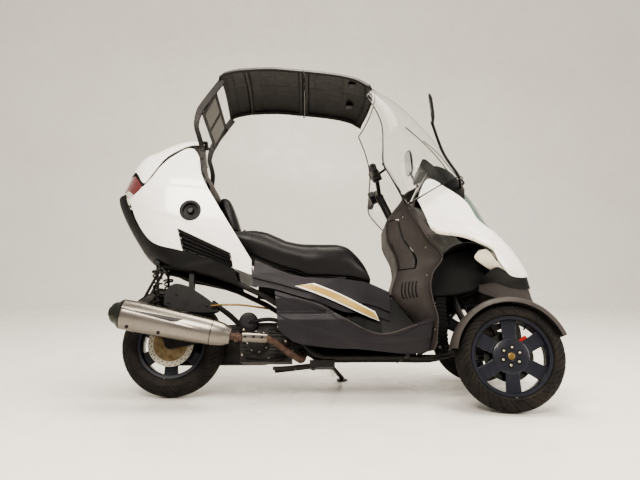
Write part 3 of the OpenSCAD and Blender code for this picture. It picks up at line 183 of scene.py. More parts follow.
def skin(name, parts, finish, node, place=row, ring=False, loop=False, caps=False, keep=None, **how):
    """Grids of points as one mesh. Each cell is a quad that faces (row direction) x (column direction)."""
    basis = place(np.vstack([np.zeros(3), np.eye(3)]))
    turned = np.linalg.det(basis[1:] - basis[0]) < 0
    points, faces, start = [], [], 0
    for p in parts:
        m, n = p.shape[:2]
        i, j = np.meshgrid(np.arange(m if loop else m - 1), np.arange(n if ring else n - 1), indexing="ij")
        k, l = (i + 1) % m, (j + 1) % n
        quads = np.stack([i * n + j, k * n + j, k * n + l, i * n + l], -1).reshape(-1, 4)
        if keep is not None:
            middle = p.reshape(-1, 3)[quads].mean(1)
            quads = quads[keep(middle)]
        cells = (quads + start).tolist()
        if caps:
            cells += [[start + v for v in range(n)], [start + (m - 1) * n + v for v in range(n - 1, -1, -1)]]
        faces += [f[::-1] for f in cells] if turned else cells
        points.append(place(p).reshape(-1, 3))
        start += m * n
    return build(name, np.concatenate(points), faces, finish, node, **how)


def tube(points, d, sides=20, up=(0, 1, 0)):
    """Rings of one diameter, or one for each point, square to a line of points; up keeps them from turning."""
    p = np.asarray(points, float)
    t = np.gradient(p, axis=0)
    t /= np.linalg.norm(t, axis=1)[:, None]
    u = np.cross(t, (0, 0, 1) if np.abs(t @ np.array(up)).max() > 0.999 else up)
    u /= np.linalg.norm(u, axis=1)[:, None]
    w = np.cross(t, u)
    a = np.linspace(0, 2 * pi, sides, endpoint=False)[None, :, None]
    r = np.broadcast_to(np.asarray(d, float) / 2, len(p))[:, None, None]
    return p[:, None] + r * (np.cos(a) * u[:, None] - np.sin(a) * w[:, None])


def spun(profile, n=72, centre=(0, 0, 0)):
    """Profile of (radius, height along Y) turned about the Y axis; it faces outward when it runs clockwise."""
    r, y = np.array(profile, float).T
    a = np.linspace(0, 2 * pi, n, endpoint=False)[:, None]
    return np.stack([r * np.cos(a), y + 0 * a, r * np.sin(a)], -1) + centre


def boxes(name, list_, finish, node, place=row, **how):
    """Blocks between a lowest and a highest corner, with softly bevelled edges."""
    unit = np.array([[x, y, z] for x in (-.5, .5) for y in (-.5, .5) for z in (-.5, .5)])
    side = [[0, 1, 3, 2], [4, 6, 7, 5], [0, 4, 5, 1], [2, 3, 7, 6], [0, 2, 6, 4], [1, 5, 7, 3]]
    points, faces = [], []
    for k, corners in enumerate(list_):
        low, high = np.array(corners, float)
        points.append(place(unit * (high - low) + (low + high) / 2))
        faces += [[8 * k + v for v in f] for f in side]
    return build(name, np.concatenate(points), faces, finish, node, **{"edge": 1.5, **how})


def heads(name, at, normal, r, h, finish, node, place=row, sides=16, dome=0.35, **how):
    """Bolt or rivet heads: a drum of radius r and height h with a domed top, at each point along its normal."""
    at, normal = np.atleast_2d(np.array(at, float)), np.atleast_2d(np.array(normal, float))
    normal = np.broadcast_to(normal, at.shape) / np.linalg.norm(normal, axis=-1, keepdims=True)
    u = np.cross(normal, [0.3, 0.2, 0.9])
    u /= np.linalg.norm(u, axis=1)[:, None]
    w = np.cross(normal, u)
    a = np.linspace(0, 2 * pi, sides, endpoint=False)
    rings = [(1, -1), (1, 1 - dome), (0.86, 1 - dome * 0.3), (0.45, 1), (0.02, 1)]
    parts = []
    for c, n, e, f in zip(at, normal, u, w):
        parts.append(np.array([[c + r * q * (e * cos(v) + f * sin(v)) + h * z * n for v in a] for q, z in rings]))
    return skin(name, parts, finish, node, place, ring=True, sharp=50, **how)


def left_too(parts):
    """The grids and their partners on the left."""
    return list(parts) + [other(p) for p in parts]


# Finishes
def rgb(code):
    """Hex colour as seen on a screen to linear light."""
    c = np.array([int(code[i:i + 2], 16) for i in (1, 3, 5)]) / 255
    return tuple(np.where(c <= 0.04045, c / 12.92, ((c + 0.055) / 1.055) ** 2.4)) + (1,)


def add(tree, kind, links=(), **values):
    """Shader node, its options and inputs set by name, its inputs linked from (socket, output) pairs."""
    n = tree.nodes.new("ShaderNode" + kind)
    for key, value in values.items():
        if hasattr(n, key):
            setattr(n, key, value)
        else:
            n.inputs[key.replace("_", " ")].default_value = value
    for name, output in links:
        tree.links.new(output, n.inputs[name])
    return n


def finish(name, slot, tone, second, rough, metal=0, spread=0.06, patch=9, share=0.5, grain=900, height=0.00012,
           stretch=(1, 1, 1), **more):
    """Surface of two tones in soft patches, patch of them in a metre, its roughness varied by spread, with a
    fine grain in relief, grain of it in a metre and height metres deep."""
    mat = bpy.data.materials.new(name)
    mat.use_nodes = True
    tree = mat.node_tree
    shader = tree.nodes["Principled BSDF"]
    where = add(tree, "TexCoord").outputs["Object"]
    where = add(tree, "Mapping", [("Vector", where)], Scale=stretch).outputs["Vector"]
    cloud = add(tree, "TexNoise", [("Vector", where)], Scale=patch, Detail=6, Roughness=0.62).outputs[0]
    cut = add(tree, "MapRange", [("Value", cloud)], From_Min=0.38, From_Max=0.68, To_Min=0, To_Max=share)
    mix = add(tree, "Mix", data_type="RGBA")
    tree.links.new(cut.outputs[0], mix.inputs[0])
    mix.inputs[6].default_value, mix.inputs[7].default_value = rgb(tone), rgb(second)
    tree.links.new(mix.outputs[2], shader.inputs["Base Color"])
    wear = add(tree, "TexNoise", [("Vector", where)], Scale=patch * 4.3, Detail=4).outputs[0]
    wear = add(tree, "MapRange", [("Value", wear)], From_Min=0.3, From_Max=0.7,
               To_Min=rough - spread, To_Max=rough + spread)
    tree.links.new(wear.outputs[0], shader.inputs["Roughness"])
    fine = add(tree, "TexNoise", [("Vector", where)], Scale=grain, Detail=2).outputs[0]
    bump = add(tree, "Bump", [("Height", fine)], Strength=1, Distance=height).outputs[0]
    tree.links.new(bump, shader.inputs["Normal"])
    shader.inputs["Metallic"].default_value = metal
    shader.inputs["Specular IOR Level"].default_value = 0.5 if max(rgb(tone)[:3]) > 0.06 else 0.22
    for key, value in more.items():
        shader.inputs[key.replace("_", " ")].default_value = value
    return mat, slot


# gloss pearl paint, faint warm patches under a clear coat
WHITE = finish("pearl white paint", "white_paint", "#f0efeb", "#e8e6e0", 0.28, share=0.5, patch=5, grain=1500,
               height=0.00003, Coat_Weight=0.8, Coat_Roughness=0.06)
# grained black moulding, greyed by dust in patches
BLACK = finish("grained black plastic", "black_plastic", "#0a0a0b", "#161414", 0.5, patch=7)
# smoother black moulding with a soft sheen
SATIN = finish("satin black plastic", "black_plastic", "#09090a", "#131213", 0.34, patch=6, height=0.00005)
# dark grey side moulding with a cool tone and scuffs
GREY = finish("dark grey plastic", "grey_plastic", "#1d1b20", "#29272a", 0.46, patch=8)
# sun-bleached brown-grey moulding
FADED = finish("faded brown-grey plastic", "grey_plastic", "#34302f", "#454040", 0.5, patch=10)
# mudguard moulding, brown-grey and chalky from the sun
FENDER = finish("faded fender plastic", "fender_plastic", "#34302e", "#46413e", 0.52, patch=12)
# roof moulding, near black and dusty in broad patches
ROOF = finish("roof plastic", "roof_skin", "#100f0f", "#1d1917", 0.46, patch=6)
# seat vinyl: soft leather-like grain and a low sheen
VINYL = finish("seat vinyl", "seat_cover", "#131214", "#1d1b1c", 0.38, patch=5, grain=520, height=0.0003)
# tyre rubber, matt and browned by dust
RUBBER = finish("tyre rubber", "tyre_rubber", "#131212", "#2b2621", 0.78, patch=14, share=0.7, grain=1200,
                height=0.0002)
# navy enamel on cast wheels, a thin coat that shines along the edges
RIM = finish("navy wheel paint", "rim_paint", "#161821", "#23232b", 0.34, patch=14, Coat_Weight=0.3)
# black frame enamel with brown road grime
FRAME = finish("frame enamel", "frame_paint", "#121315", "#2a221c", 0.45, patch=16, share=0.6)
# black spring enamel with a small glint on each turn
SHOCK = finish("black spring enamel", "shock_paint", "#0f0f11", "#1f1b19", 0.36, patch=20)
# black enamel of bar, levers and small bolts, with a soft sheen
BAR = finish("handlebar black", "bar_black", "#0f0f11", "#1a191b", 0.4, patch=12)
# moulded grip rubber, dull with a greyish bloom
GRIP = finish("grip rubber", "bar_black", "#141415", "#232221", 0.8, patch=20)
# cast alloy with oily brown grime in its low tones
CAST = finish("cast alloy with grime", "cast_engine", "#3a3938", "#1d1a18", 0.52, metal=0.5, patch=17, share=0.9,
              grain=700, height=0.0003)
# painted engine covers, black with oily brown patches
COVER = finish("black engine cover", "cast_engine", "#121213", "#29221c", 0.42, patch=15, share=0.6)
# exhaust steel gone to brown scale, rough and blotched
RUST = finish("rusted steel", "exhaust_steel", "#54433a", "#2f1f17", 0.62, metal=0.6, patch=38, share=1,
              spread=0.12, height=0.0004)
# brushed steel gone warm with heat, brushed along the can
STEEL = finish("warm brushed steel", "exhaust_steel", "#7d7872", "#5c544c", 0.3, metal=1, patch=6, share=0.7,
               grain=300, height=0.00005, stretch=(0.12, 1, 1))
# bright metal given a dark tone, on the tail cap, seam and front discs
CHROME = finish("dark tail cap", "exhaust_steel", "#4b4d47", "#2c3029", 0.22, metal=1, patch=14)
# disc steel browned between its worn tracks
DISC = finish("worn disc steel", "disc_steel", "#8a7a5e", "#574430", 0.36, metal=1, patch=30, share=0.8)
# zinc-plated steel, pale and a little yellow
BOLT = finish("zinc bolts", "disc_steel", "#b9b4a8", "#8a7c66", 0.36, metal=1, patch=60)
# brass with a dull brown bloom
BRASS = finish("aged brass", "cast_engine", "#7f6a42", "#4d3f28", 0.45, metal=1, patch=40)
# red lacquer of the caliper
RED = finish("red lacquer", "red_lens", "#c3261c", "#8e1711", 0.35, patch=30)
# moulded red lens, deep and glossy over fine ribs
LENS = finish("red lamp lens", "red_lens", "#6d0806", "#470403", 0.16, patch=20, grain=240, height=0.0006,
              Coat_Weight=1, Transmission_Weight=0.25)
# pale lens beside the red one, milky with fine ribs
PALE = finish("pale lamp lens", "lamp_glass", "#cfc9bd", "#b3ada2", 0.18, patch=20, grain=240, height=0.0006,
              Coat_Weight=1)
# green-tinted lamp glass, with the dark lamp showing through
GREEN = finish("tinted lamp glass", "lamp_glass", "#7f9f92", "#5f8277", 0.08, spread=0.02, patch=6,
               height=0.00001, Transmission_Weight=0.7, Coat_Weight=1)
# clear sheet, hardly seen but for its reflections
CLEAR = finish("clear screen", "clear_screen", "#fdfefd", "#f6f8f6", 0.03, spread=0.02, patch=3, height=0.000003,
               Transmission_Weight=1, IOR=1.15)
# smoked pane, brown and half see-through
SMOKE = finish("smoked pane", "smoked_glass", "#3b342e", "#2c2722", 0.1, spread=0.03, patch=3, height=0.00001,
               Transmission_Weight=0.75)
# silvered glass
MIRROR = finish("mirror glass", "black_plastic", "#c9cdd0", "#b9bdbf", 0.04, metal=1, spread=0.01,
                height=0.000002)
# metallic gold film of the stripe
GOLD = finish("gold stripe film", "grey_plastic", "#a98d4f", "#8f7540", 0.38, patch=8, metal=0.3)
# off-white film that borders the stripe
EDGE = finish("white stripe film", "white_paint", "#d9d5cb", "#c4bfb3", 0.4, patch=8)
# cream inner face of the white panels, unpolished
CREAM = finish("cream lip", "white_paint", "#cfc8b8", "#b7ad99", 0.42, patch=10)
# studio floor, pale with a faint gloss, no part of the object
FLOOR = finish("pale studio floor", "", "#ece9e3", "#e6e2da", 0.3, spread=0.08, patch=1.1, grain=60,
               height=0.00002)

KEPT_NODES = ((FRAME, ("frame", "stand_bracket", "swing_arm", "suspension_arms", "knuckle_right", "knuckle_left",
                       "side_stand", "centre_stand")), (CAST, ("engine",)), (BLACK, ("trunk_box", "seat_bucket")),
              (BAR, ("handlebar",)), (DISC, ("rear_disc",)), (SATIN, ("radiator", "instrument_pod", "air_box")),
              (SMOKE, ("rear_panes",)))
for kind, names in KEPT_NODES:
    for name in names:
        for s in NODES[name].material_slots:
            s.material = kind[0]

# Tail
TAIL_W, TAIL_MID_X, TAIL_MID_Z = 236, 60, 880
tail_rear = [[600, -60], [642, -93], [674, -140], [726, -181], [934, -299], [975, -313], [1000, -316]]
tail_top = [[-316, 1000], [-285, 1070], [-247, 1146], [-209, 1213], [-165, 1249], [-124, 1264], [-73, 1291],
            [-13, 1316], [46, 1330], [95, 1332], [140, 1326]]


def tail_half(x, z):
    """Half width of the tail: a superellipse towards its rear line times one towards its top line."""
    u = np.clip((TAIL_MID_X - x) / (TAIL_MID_X - lookup(z, tail_rear)), 0, 1)
    plan = np.where(x > TAIL_MID_X, 1 - 0.12 * ((x - TAIL_MID_X) / 340) ** 2, np.sqrt(1 - u ** 2.6))
    w = np.clip((z - TAIL_MID_Z) / (lookup(x, tail_top) - TAIL_MID_Z), None, 1)
    section = np.where(w > 0, np.sqrt(1 - np.clip(w, 0, 1) ** 2.8), 1 - 0.18 * ((TAIL_MID_Z - z) / 300) ** 2)
    return TAIL_W * plan * section


def on_tail(g, depth=0.0):
    """Side-view grid laid on the right of the tail, sunk by a depth."""
    x, z = g[..., 0], g[..., 1]
    return np.stack([x + 0.5 * depth, np.minimum(depth - tail_half(x, z), 0), z - depth], -1)


CAP = np.array([92, 878])


def snapped(g, centre, r, reach):
    """Grid points within reach of a circle pulled onto it, so that an edge can follow the circle."""
    v = g - centre
    d = np.linalg.norm(v, axis=-1, keepdims=True)
    return np.where(np.abs(d - r) < reach, centre + v / np.maximum(d, 1e-6) * r, g)


low = curve([[-226, 955], [-190, 860], [-128, 765], [-60, 715], [60, 682], [180, 645], [303, 604], [389, 575]],
            14)
high = curve([[-158, 1006], [-110, 1062], [-60, 1142], [-16, 1187], [60, 1238], [112, 1180], [158, 1020],
              [390, 640]], 14)
g = between(low, high, 72)
# a crease from the lamp down to the tip, drawn as a soft step of the surface
fold = [[-226, 905], [-203, 915], [-53, 869], [89, 823], [193, 743], [287, 673], [389, 600]]
step = 2.6 * smooth((lookup(g[..., 0], fold) - g[..., 1]) / 14)
upper = [[-120, 1020], [-57, 1012], [83, 996], [221, 981], [300, 900]]
step = step + 1.8 * smooth((g[..., 1] - lookup(g[..., 0], upper)) / 10) * smooth((g[..., 0] + 90) / 40)
flank = on_tail(g, step)


def solid_flank(c):
    """Cells outside the filler's circle on the right and outside the intake on both sides."""
    x, z = c[:, 0], c[:, 2]
    cap = (c[:, 1] < 0) & (np.hypot(x - CAP[0], z - CAP[1]) < 46)
    within = (z < 779 - (x - 37) * 0.458) & (x > 39 + (787 - z) * 0.25) & (x < 286.5 + (671 - z) * 0.194)
    return ~cap & ~within


skin("tail_flanks", [on_tail(snapped(g, CAP, 46, 2.6), step), other(flank)], WHITE, "tail_panels",
     keep=solid_flank, shell=PANEL, edge=1, swap=True)
skin("filler_dish", [spun([(46.4, -235.6), (45.4, -235), (44, -231), (40, -224), (16, -221)], 64,
                          (CAP[0], 0, CAP[1]))], BLACK, "tail_trim", loop=True)
# intake: a frame over the white edge, and four slats that lean back into the opening
g = between(curve([[60, 687], [140, 660], [220, 634], [303, 604]], 16),
            curve([[35, 787], [120, 748], [205, 709], [290, 671]], 16), 50)
u, v = np.linspace(0, 1, 49)[:, None], np.linspace(0, 1, 51)[None, :]
inside = smooth(u / 0.03 - 0.6) * smooth((1 - u) / 0.03 - 0.6)
inside = inside * smooth(v / 0.09 - 0.5) * smooth((1 - v) / 0.09 - 0.5)
slats = 13 * ((v * 4.4 + 0.2) % 1) ** 1.5
skin("flank_intakes", left_too([on_tail(g, -1.1 + inside * (2 + slats))]), BLACK, "tail_trim", shell=2, edge=0.6)
cap_y = -TAIL_W + 13
skin("filler_knob", [spun([(2, -13), (11, -13), (14, -11), (15, -8), (15, 0), (17, 2), (30, 3), (31, 6)][::-1],
                          40, (CAP[0], cap_y, CAP[1]))], SATIN, "tail_trim", loop=True, sharp=30)
skin("filler_ring", [spun([(36, 12), (36, -10), (38, -13), (50, -14.4), (52, -13.6), (52, -11), (44, -9),
                           (44, 12)][::-1], 64, (CAP[0], cap_y, CAP[1]))], BLACK, "tail_trim", loop=True, sharp=30)

low = curve([[-150, 732], [-78, 664], [20, 616], [160, 586], [270, 554], [330, 534]], 14)
high = curve([[-214, 930], [-120, 770], [-58, 722], [60, 690], [180, 652], [300, 612]], 14)
g = between(low, high, 24)
ridge = 1.6 * np.cos((g[..., 1] - g[..., 0] * 0.2) / 11) * smooth((g[..., 0] - 40) / 60)
strip = on_tail(g, PANEL + 3.6 + ridge)
z, v = np.meshgrid(np.linspace(660, 990, 34), np.linspace(-1, 1, 41), indexing="ij")
line = lookup(z, tail_rear)
plate = np.stack([line + 3 + 60 * np.abs(v) ** 3, v * np.minimum(tail_half(line + 70, z), 150), z], -1)
skin("tail_strips", left_too([strip]) + [plate], BLACK, "tail_trim", shell=PANEL, edge=1, swap=True)

low = curve([[-300, 1000], [-262, 985], [-221, 963]], 14)
high = curve([[-262, 1098], [-216, 1094], [-157, 1009]], 14)
g = between(low, high, 24)
skin("tail_lenses", left_too([on_tail(g[:, 7:], PANEL + 1)]), LENS, "tail_lamps", shell=9, edge=2, swap=True)
skin("tail_reflectors", left_too([on_tail(g[:, :7], PANEL + 1.6)]), PALE, "tail_lamps", shell=8, edge=2)

low = curve([[-250, 1112], [-205, 1107], [-153, 1032], [-108, 1084], [-62, 1164], [-17, 1207.5], [58, 1257],
             [104, 1263]], 10)
high = curve([[-262, 1112], [-247, 1145], [-209, 1212], [-165, 1248], [-73, 1290], [-13, 1315], [46, 1329],
              [100, 1331]], 10)
lid = on_tail(between(low, high, 40))
skin("trunk_lid_skin", [whole(lid)], WHITE, "trunk_lid", shell=PANEL, edge=1, swap=True)
boxes("trunk_lid_hinges", [((84, y - 12, 1316), (128, y + 12, 1325)) for y in (-40, 40)], BLACK, "trunk_lid")
# dark gasket that shows as the seam around the lid
skin("lid_gasket", left_too([tube(on_tail(low[:, None] + [0, -2.5], 6)[:, 0], 6, 10)]), BLACK, "tail_panels",
     ring=True)

# Closing panel and the passenger's pad
closing = [[735, 262], [790, 226], [850, 212], [900, 206], [985, 210], [1050, 182], [1100, 154], [1148, 128],
           [1200, 116], [1235, 110], [1270, 106], [1298, 104]]
closing_top = [[1060, 214], [1090, 178], [1148, 178], [1200, 168], [1235, 154], [1270, 122], [1298, 80]]
z, v = np.meshgrid(np.linspace(735, 1298, 64), np.linspace(-1, 1, 49), indexing="ij")
front = lookup(z, closing)
half = np.minimum(tail_half(front - 24, z) - PANEL - 2.4, np.where(z < 1060, TAIL_W, lookup(z, closing_top)))
rib = 4 * smooth((np.abs(v) - 0.74) / 0.05) * smooth((0.93 - np.abs(v)) / 0.05) * smooth((z - 780) / 60)
skin("closing_panel", [np.stack([front - 24 * np.abs(v) ** 2.5 + rib * 0.6 - 2.5, v * half, z], -1)], FADED,
     "backrest", shell=5, edge=1.2, swap=True)
boxes("lid_catch", [((98, -14, 1290), (112, 14, 1310)), ((106, -14, 1302), (124, 14, 1326))], BLACK, "backrest")


def filled(ob, cell, force, reach):
    """Cushion blown up a little by cloth over even cells, no point moving past its reach, then smoothed."""
    bpy.context.view_layer.objects.active = ob
    ob.select_set(True)
    ob.data.remesh_voxel_size = cell
    bpy.ops.object.voxel_remesh()
    ob.select_set(False)
    count = len(ob.data.vertices)
    rest = np.empty(count * 3, np.float32)
    ob.data.vertices.foreach_get("co", rest)
    cloth = ob.modifiers.new("fill", "CLOTH")
    cloth.settings.use_pressure, cloth.settings.uniform_pressure_force = True, force
    cloth.settings.effector_weights.gravity = 0
    cloth.point_cache.frame_start, cloth.point_cache.frame_end = 1, 20
    for f in range(1, 21):
        bpy.context.scene.frame_set(f)
    puffed = ob.evaluated_get(bpy.context.evaluated_depsgraph_get()).to_mesh()
    new = np.empty(count * 3, np.float32)
    puffed.vertices.foreach_get("co", new)
    ob.modifiers.remove(cloth)
    bpy.context.scene.frame_set(1)
    move = (new - rest).reshape(-1, 3)
    far = np.linalg.norm(move, axis=1, keepdims=True)
    move *= np.minimum(1, reach / np.maximum(far, 1e-9))
    ob.data.vertices.foreach_set("co", rest + move.ravel())
    ob.data.shade_smooth()
    m = ob.modifiers.new("even", "SUBSURF")
    m.levels = m.render_levels = 1
    return ob


PAD_HALF, PAD_FRONT = 128, 334
s = np.linspace(0, 1, 24)[:, None]
scale = lookup(s, [[0, 0.86], [0.08, 0.96], [0.5, 1], [0.85, 0.92], [1, 0.8]])
t = np.linspace(0, 2 * pi, 64, endpoint=False)[None]
power = lambda c: np.sign(c) * np.abs(c) ** 0.6
pad = np.stack([PAD_FRONT - 38 - 62 * s + 31 * scale * power(np.cos(t)),
                (PAD_HALF - 4) * scale * power(np.sin(t)), 806 + 182 * s + 0 * t], -1)
pad = skin("back_pad", [pad], VINYL, "backrest", ring=True, caps=True)
filled(pad, 0.007, 4, 0.004)

# Seat
SEAT_W = 165
seat_top = [[206, 846], [250, 841], [307, 830], [380, 824], [445, 814], [505, 790], [564, 765], [636, 752],
            [720, 750], [802, 751], [850, 741], [909, 697], [954, 643], [984, 575]]
seat_low = [[206, 790], [266, 745], [402, 672], [520, 622], [627, 590], [660, 572], [860, 572], [940, 560],
            [984, 552]]
seat_plan = [[206, 0.74], [300, 0.92], [445, 0.98], [560, 1], [700, 1], [802, 0.92], [880, 0.78], [940, 0.6],
             [984, 0.42]]
across_seat = curve([[-.86, 0], [.86, 0], [.97, .3], [1, .55], [.9, .82], [.66, .95], [.3, 1], [-.3, 1],
                     [-.66, .95], [-.9, .82], [-1, .55], [-.97, .3], [-.86, 0]], 5)[:-1]


def seat_rings(xs, lowest, highest):
    """Rings of the seat at places along it, their width held between two limits."""
    x = xs[:, None]
    w, top, base = SEAT_W * lookup(x, seat_plan), lookup(x, seat_top), lookup(x, seat_low)
    y = np.clip(across_seat[None, :, 0] * w * 0.975, lowest, highest)
    return np.stack([x + 0 * y, y, base + 4 + (top - base - 8) * np.clip(across_seat[None, :, 1], 0, 1)], -1)


# FREE is wider than the seat, so it limits nothing; the seat's two arms run back beside the pad
FREE = 999
main = seat_rings(np.concatenate([np.linspace(345, 900, 60), np.linspace(910, 979, 14)]), -FREE, FREE)
arms = np.linspace(252, 350, 12)
seat = skin("seat_cushion", [main, seat_rings(arms, -FREE, -PAD_HALF - 10),
                             seat_rings(arms, PAD_HALF + 10, FREE)], VINYL, "seat", ring=True, caps=True, swap=True)
filled(seat, 0.0095, 3.5, 0.0035)
skin("seat_base", [seat_rings(np.linspace(262, 975, 70), -FREE, FREE)[:, :12] - [0, 0, 3.5]], BLACK, "seat",
     shell=3)
skin("seat_hinges", [tube([[950, y - 10, 538], [950, y + 10, 538]], 22) for y in (-36, 36)], FRAME, "seat",
     ring=True, caps=True)
boxes("seat_hinge_lugs", [((942, y - 10, 540), (958, y + 10, 562)) for y in (-36, 36)], FRAME, "seat")

# Middle body
FLOOR_W, TUNNEL_W = 238, 108
mid_section = [[180, 0.76], [260, 0.92], [345, 1], [372, 0.97], [385, 0.86], [450, 0.9], [520, 0.82],
               [580, 0.74], [640, 0.7]]


def mid_half(x, z):
    """Half width of the middle body, wide at the floor and narrowing to the rear."""
    taper = np.where(x < 560, 1 - 0.10 * ((560 - x) / 300) ** 2, 1)
    return FLOOR_W * np.interp(z, *np.array(mid_section).T) * taper


def side_half(x, z):
    """Middle body's half width, running in to the tunnel's at the front."""
    k = smooth((x - 660) / 330)
    return mid_half(x, z) * (1 - k) + (TUNNEL_W + 20) * k


def on_side(g, depth):
    """Side-view grid laid on the right flank under the seat, sunk by a depth."""
    return np.stack([g[..., 0], depth - side_half(g[..., 0], g[..., 1]), g[..., 1]], -1)


low = curve([[394, 518], [440, 510], [492, 502], [620, 462], [720, 432], [830, 396], [930, 390], [1010, 372],
             [1060, 352]], 11)
high = curve([[403, 650], [470, 618], [560, 582], [640, 560], [730, 556], [800, 556], [880, 552], [960, 540],
              [1062, 494]], 11)
g = between(low, high, 46)
v = np.linspace(0, 1, 47)[None, :]
band = 10 * (1 - smooth((v - 0.27) / 0.05))
facet = 5 * np.abs(v - 0.62) * smooth((v - 0.3) / 0.1) + 3 * np.abs((g[..., 0] - 640 - 160 * v) / 400)
skin("side_cover_skins", left_too([on_side(g, 2 + band + facet)]), GREY, "side_covers", shell=PANEL, edge=1,
     swap=True)
rim_low = np.array([[600, 511], [800, 435], [1009, 351]])
rim_high = np.array([[692, 527], [840, 470], [988, 400]])
g = between(curve(rim_low, 16), curve(rim_high, 16), 8)
skin("stripe_border", left_too([on_side(g, 1.2)]), EDGE, "side_covers", shell=0.8)
g = between(curve(rim_low + [[16, 3], [10, 6], [-4, 7]], 16),
            curve(rim_high + [[-10, -6], [-4, -6], [-5, -6]], 16), 8)
skin("stripe", left_too([on_side(g, 0.4)]), GOLD, "side_covers", shell=0.8)

floor_line = [[620, 372], [720, 362], [831, 340], [883, 308], [946, 279], [1026, 268], [1089, 277], [1200, 326]]
tunnel_top = [[700, 425], [852, 425], [870, 500], [940, 500], [1075, 490]]
shield_outer = [[202, 1240], [247, 1254], [346, 1263], [424, 1246], [496, 1236], [558, 1248], [644, 1300],
                [746, 1226], [914, 1150], [950, 1135]]
shield_rear = [[202, 1230], [346, 1180], [494, 1076], [617, 1104], [662, 1099], [782, 1056], [845, 1056],
               [902, 1086], [955, 1131], [1000, 1180], [1040, 1235]]


def shield_x(y, z):
    """Rear face of the leg shield: its middle line, blending into its outer line away from the middle."""
    m = smooth((np.abs(y) - 95) / 150) * smooth((1010 - z) / 60)
    return lookup(z, shield_rear) * (1 - m) + lookup(z, shield_outer) * m


def floor_ring(x):
    """Section of the floor: foot board with slanted ribs, the tunnel's flank and its top."""
    x = x[:, None]
    base, top = np.interp(x, *np.array(floor_line).T), np.interp(x, *np.array(tunnel_top).T)
    edge = mid_half(x, base) - PANEL - 3
    u = np.linspace(0, 1, 41)[None]
    y = edge - (edge - TUNNEL_W - 4) * u
    wave = np.abs(((x + 0.45 * y) / 26) % 1 - 0.5) * 2
    rib = 2.6 * smooth((wave - 0.62) / 0.16) * smooth(u / 0.08) * smooth((0.94 - u) / 0.06)
    foot = np.stack([y, base - 3 * np.sin(pi * u) + rib - 1.5], -1)
    flank = np.stack([np.stack([0 * x[:, 0] + TUNNEL_W, base[:, 0] + 8], -1),
                      np.stack([0 * x[:, 0] + TUNNEL_W - 3, top[:, 0] - 40], -1),
                      np.stack([0 * x[:, 0] + TUNNEL_W - 12, top[:, 0] - 16], -1),
                      np.stack([0 * x[:, 0] + TUNNEL_W - 30, top[:, 0]], -1),
                      np.stack([0 * x[:, 0] + TUNNEL_W / 2, top[:, 0] + 3], -1)], 1)
    half = np.concatenate([foot, flank], 1)
    right = np.stack([x + 0 * half[..., 0], -half[..., 0], half[..., 1]], -1)
    middle = np.stack([x, 0 * x, top + 4], -1)
    return np.concatenate([right, middle, right[:, ::-1] * [1, -1, 1]], 1)


body_rings = floor_ring(np.linspace(760, 1020, 66))
last = floor_ring(np.array([1170.0]))[0]
last = np.stack([shield_x(last[:, 1], last[:, 2]) - 1, last[:, 1], last[:, 2]], -1)
k = np.linspace(0, 1, 24)[1:, None, None]
skin("floor_skin", [np.concatenate([body_rings, body_rings[-1:] * (1 - k) + last * k])], SATIN, "floor_boards",
     shell=PANEL, edge=0.8, swap=True)

low = curve([[525, 300], [600, 245], [681, 228], [790, 216], [900, 212], [1048, 197], [1150, 190],
             [1230, 202]], 11)
high = curve([[505, 488], [620, 452], [740, 416], [831, 350], [946, 288], [1089, 286], [1180, 330],
              [1250, 350]], 11)
g = between(low, high, 44)
v = np.linspace(0, 1, 45)[None, :]
fold = 5 * smooth((0.9 - v) / 0.04) + 4 * smooth((0.42 - v) / 0.05)
skin("belly_skins", left_too([np.stack([g[..., 0], fold - mid_half(g[..., 0], g[..., 1]), g[..., 1]], -1)]), GREY,
     "belly_pans", shell=PANEL, edge=1, swap=True)
# paler tube along the belly pan's top edge: its lighter tone is a painted highlight of the flange, and its round
# section also catches real light
lip = curve([[603, 450], [719, 416], [830, 352], [950, 291], [1042, 281], [1170, 322]], 12)
lip_line = np.stack([lip[:, 0], -mid_half(lip[:, 0], lip[:, 1]) + 2, lip[:, 1]], -1)
skin("belly_lips", left_too([tube(lip_line, 7, 12)]), FADED, "belly_pans", ring=True, caps=True)

# Leg shield
GLOVE_LOW, GLOVE_HIGH = np.array([-168, 602]), np.array([-112, 858])
zs = np.unique(np.concatenate([np.linspace(205, 1020, 96), [602, 858]]))
vs = np.unique(np.concatenate([np.linspace(-1, 1, 81), [-168 / 250, -112 / 250]]))
z, v = np.meshgrid(zs, vs, indexing="ij")
w = np.minimum(250, np.interp(z, [900, 1020], [250, 188]))
wave = 2.2 * smooth((np.abs(v) - 0.80) / 0.02) * smooth((z - 300) / 40)
shield = np.stack([shield_x(w * v, z) + wave, w * v, z], -1)
shaft = np.array([-sin(COLUMN_TILT), 0, cos(COLUMN_TILT)])
head = np.array([1000 + 20 * cos(COLUMN_TILT), 0, 1076 + 20 * sin(COLUMN_TILT)])


def solid_shield(c):
    """Cells outside the glove opening and the steering column's hole."""
    glove = ((c[:, 1:] > GLOVE_LOW) & (c[:, 1:] < GLOVE_HIGH)).all(1)
    v = c - head
    off = np.linalg.norm(v - (v @ shaft)[:, None] * shaft, axis=1)
    return ~glove & ~((off < 33) & (v @ shaft > -330))


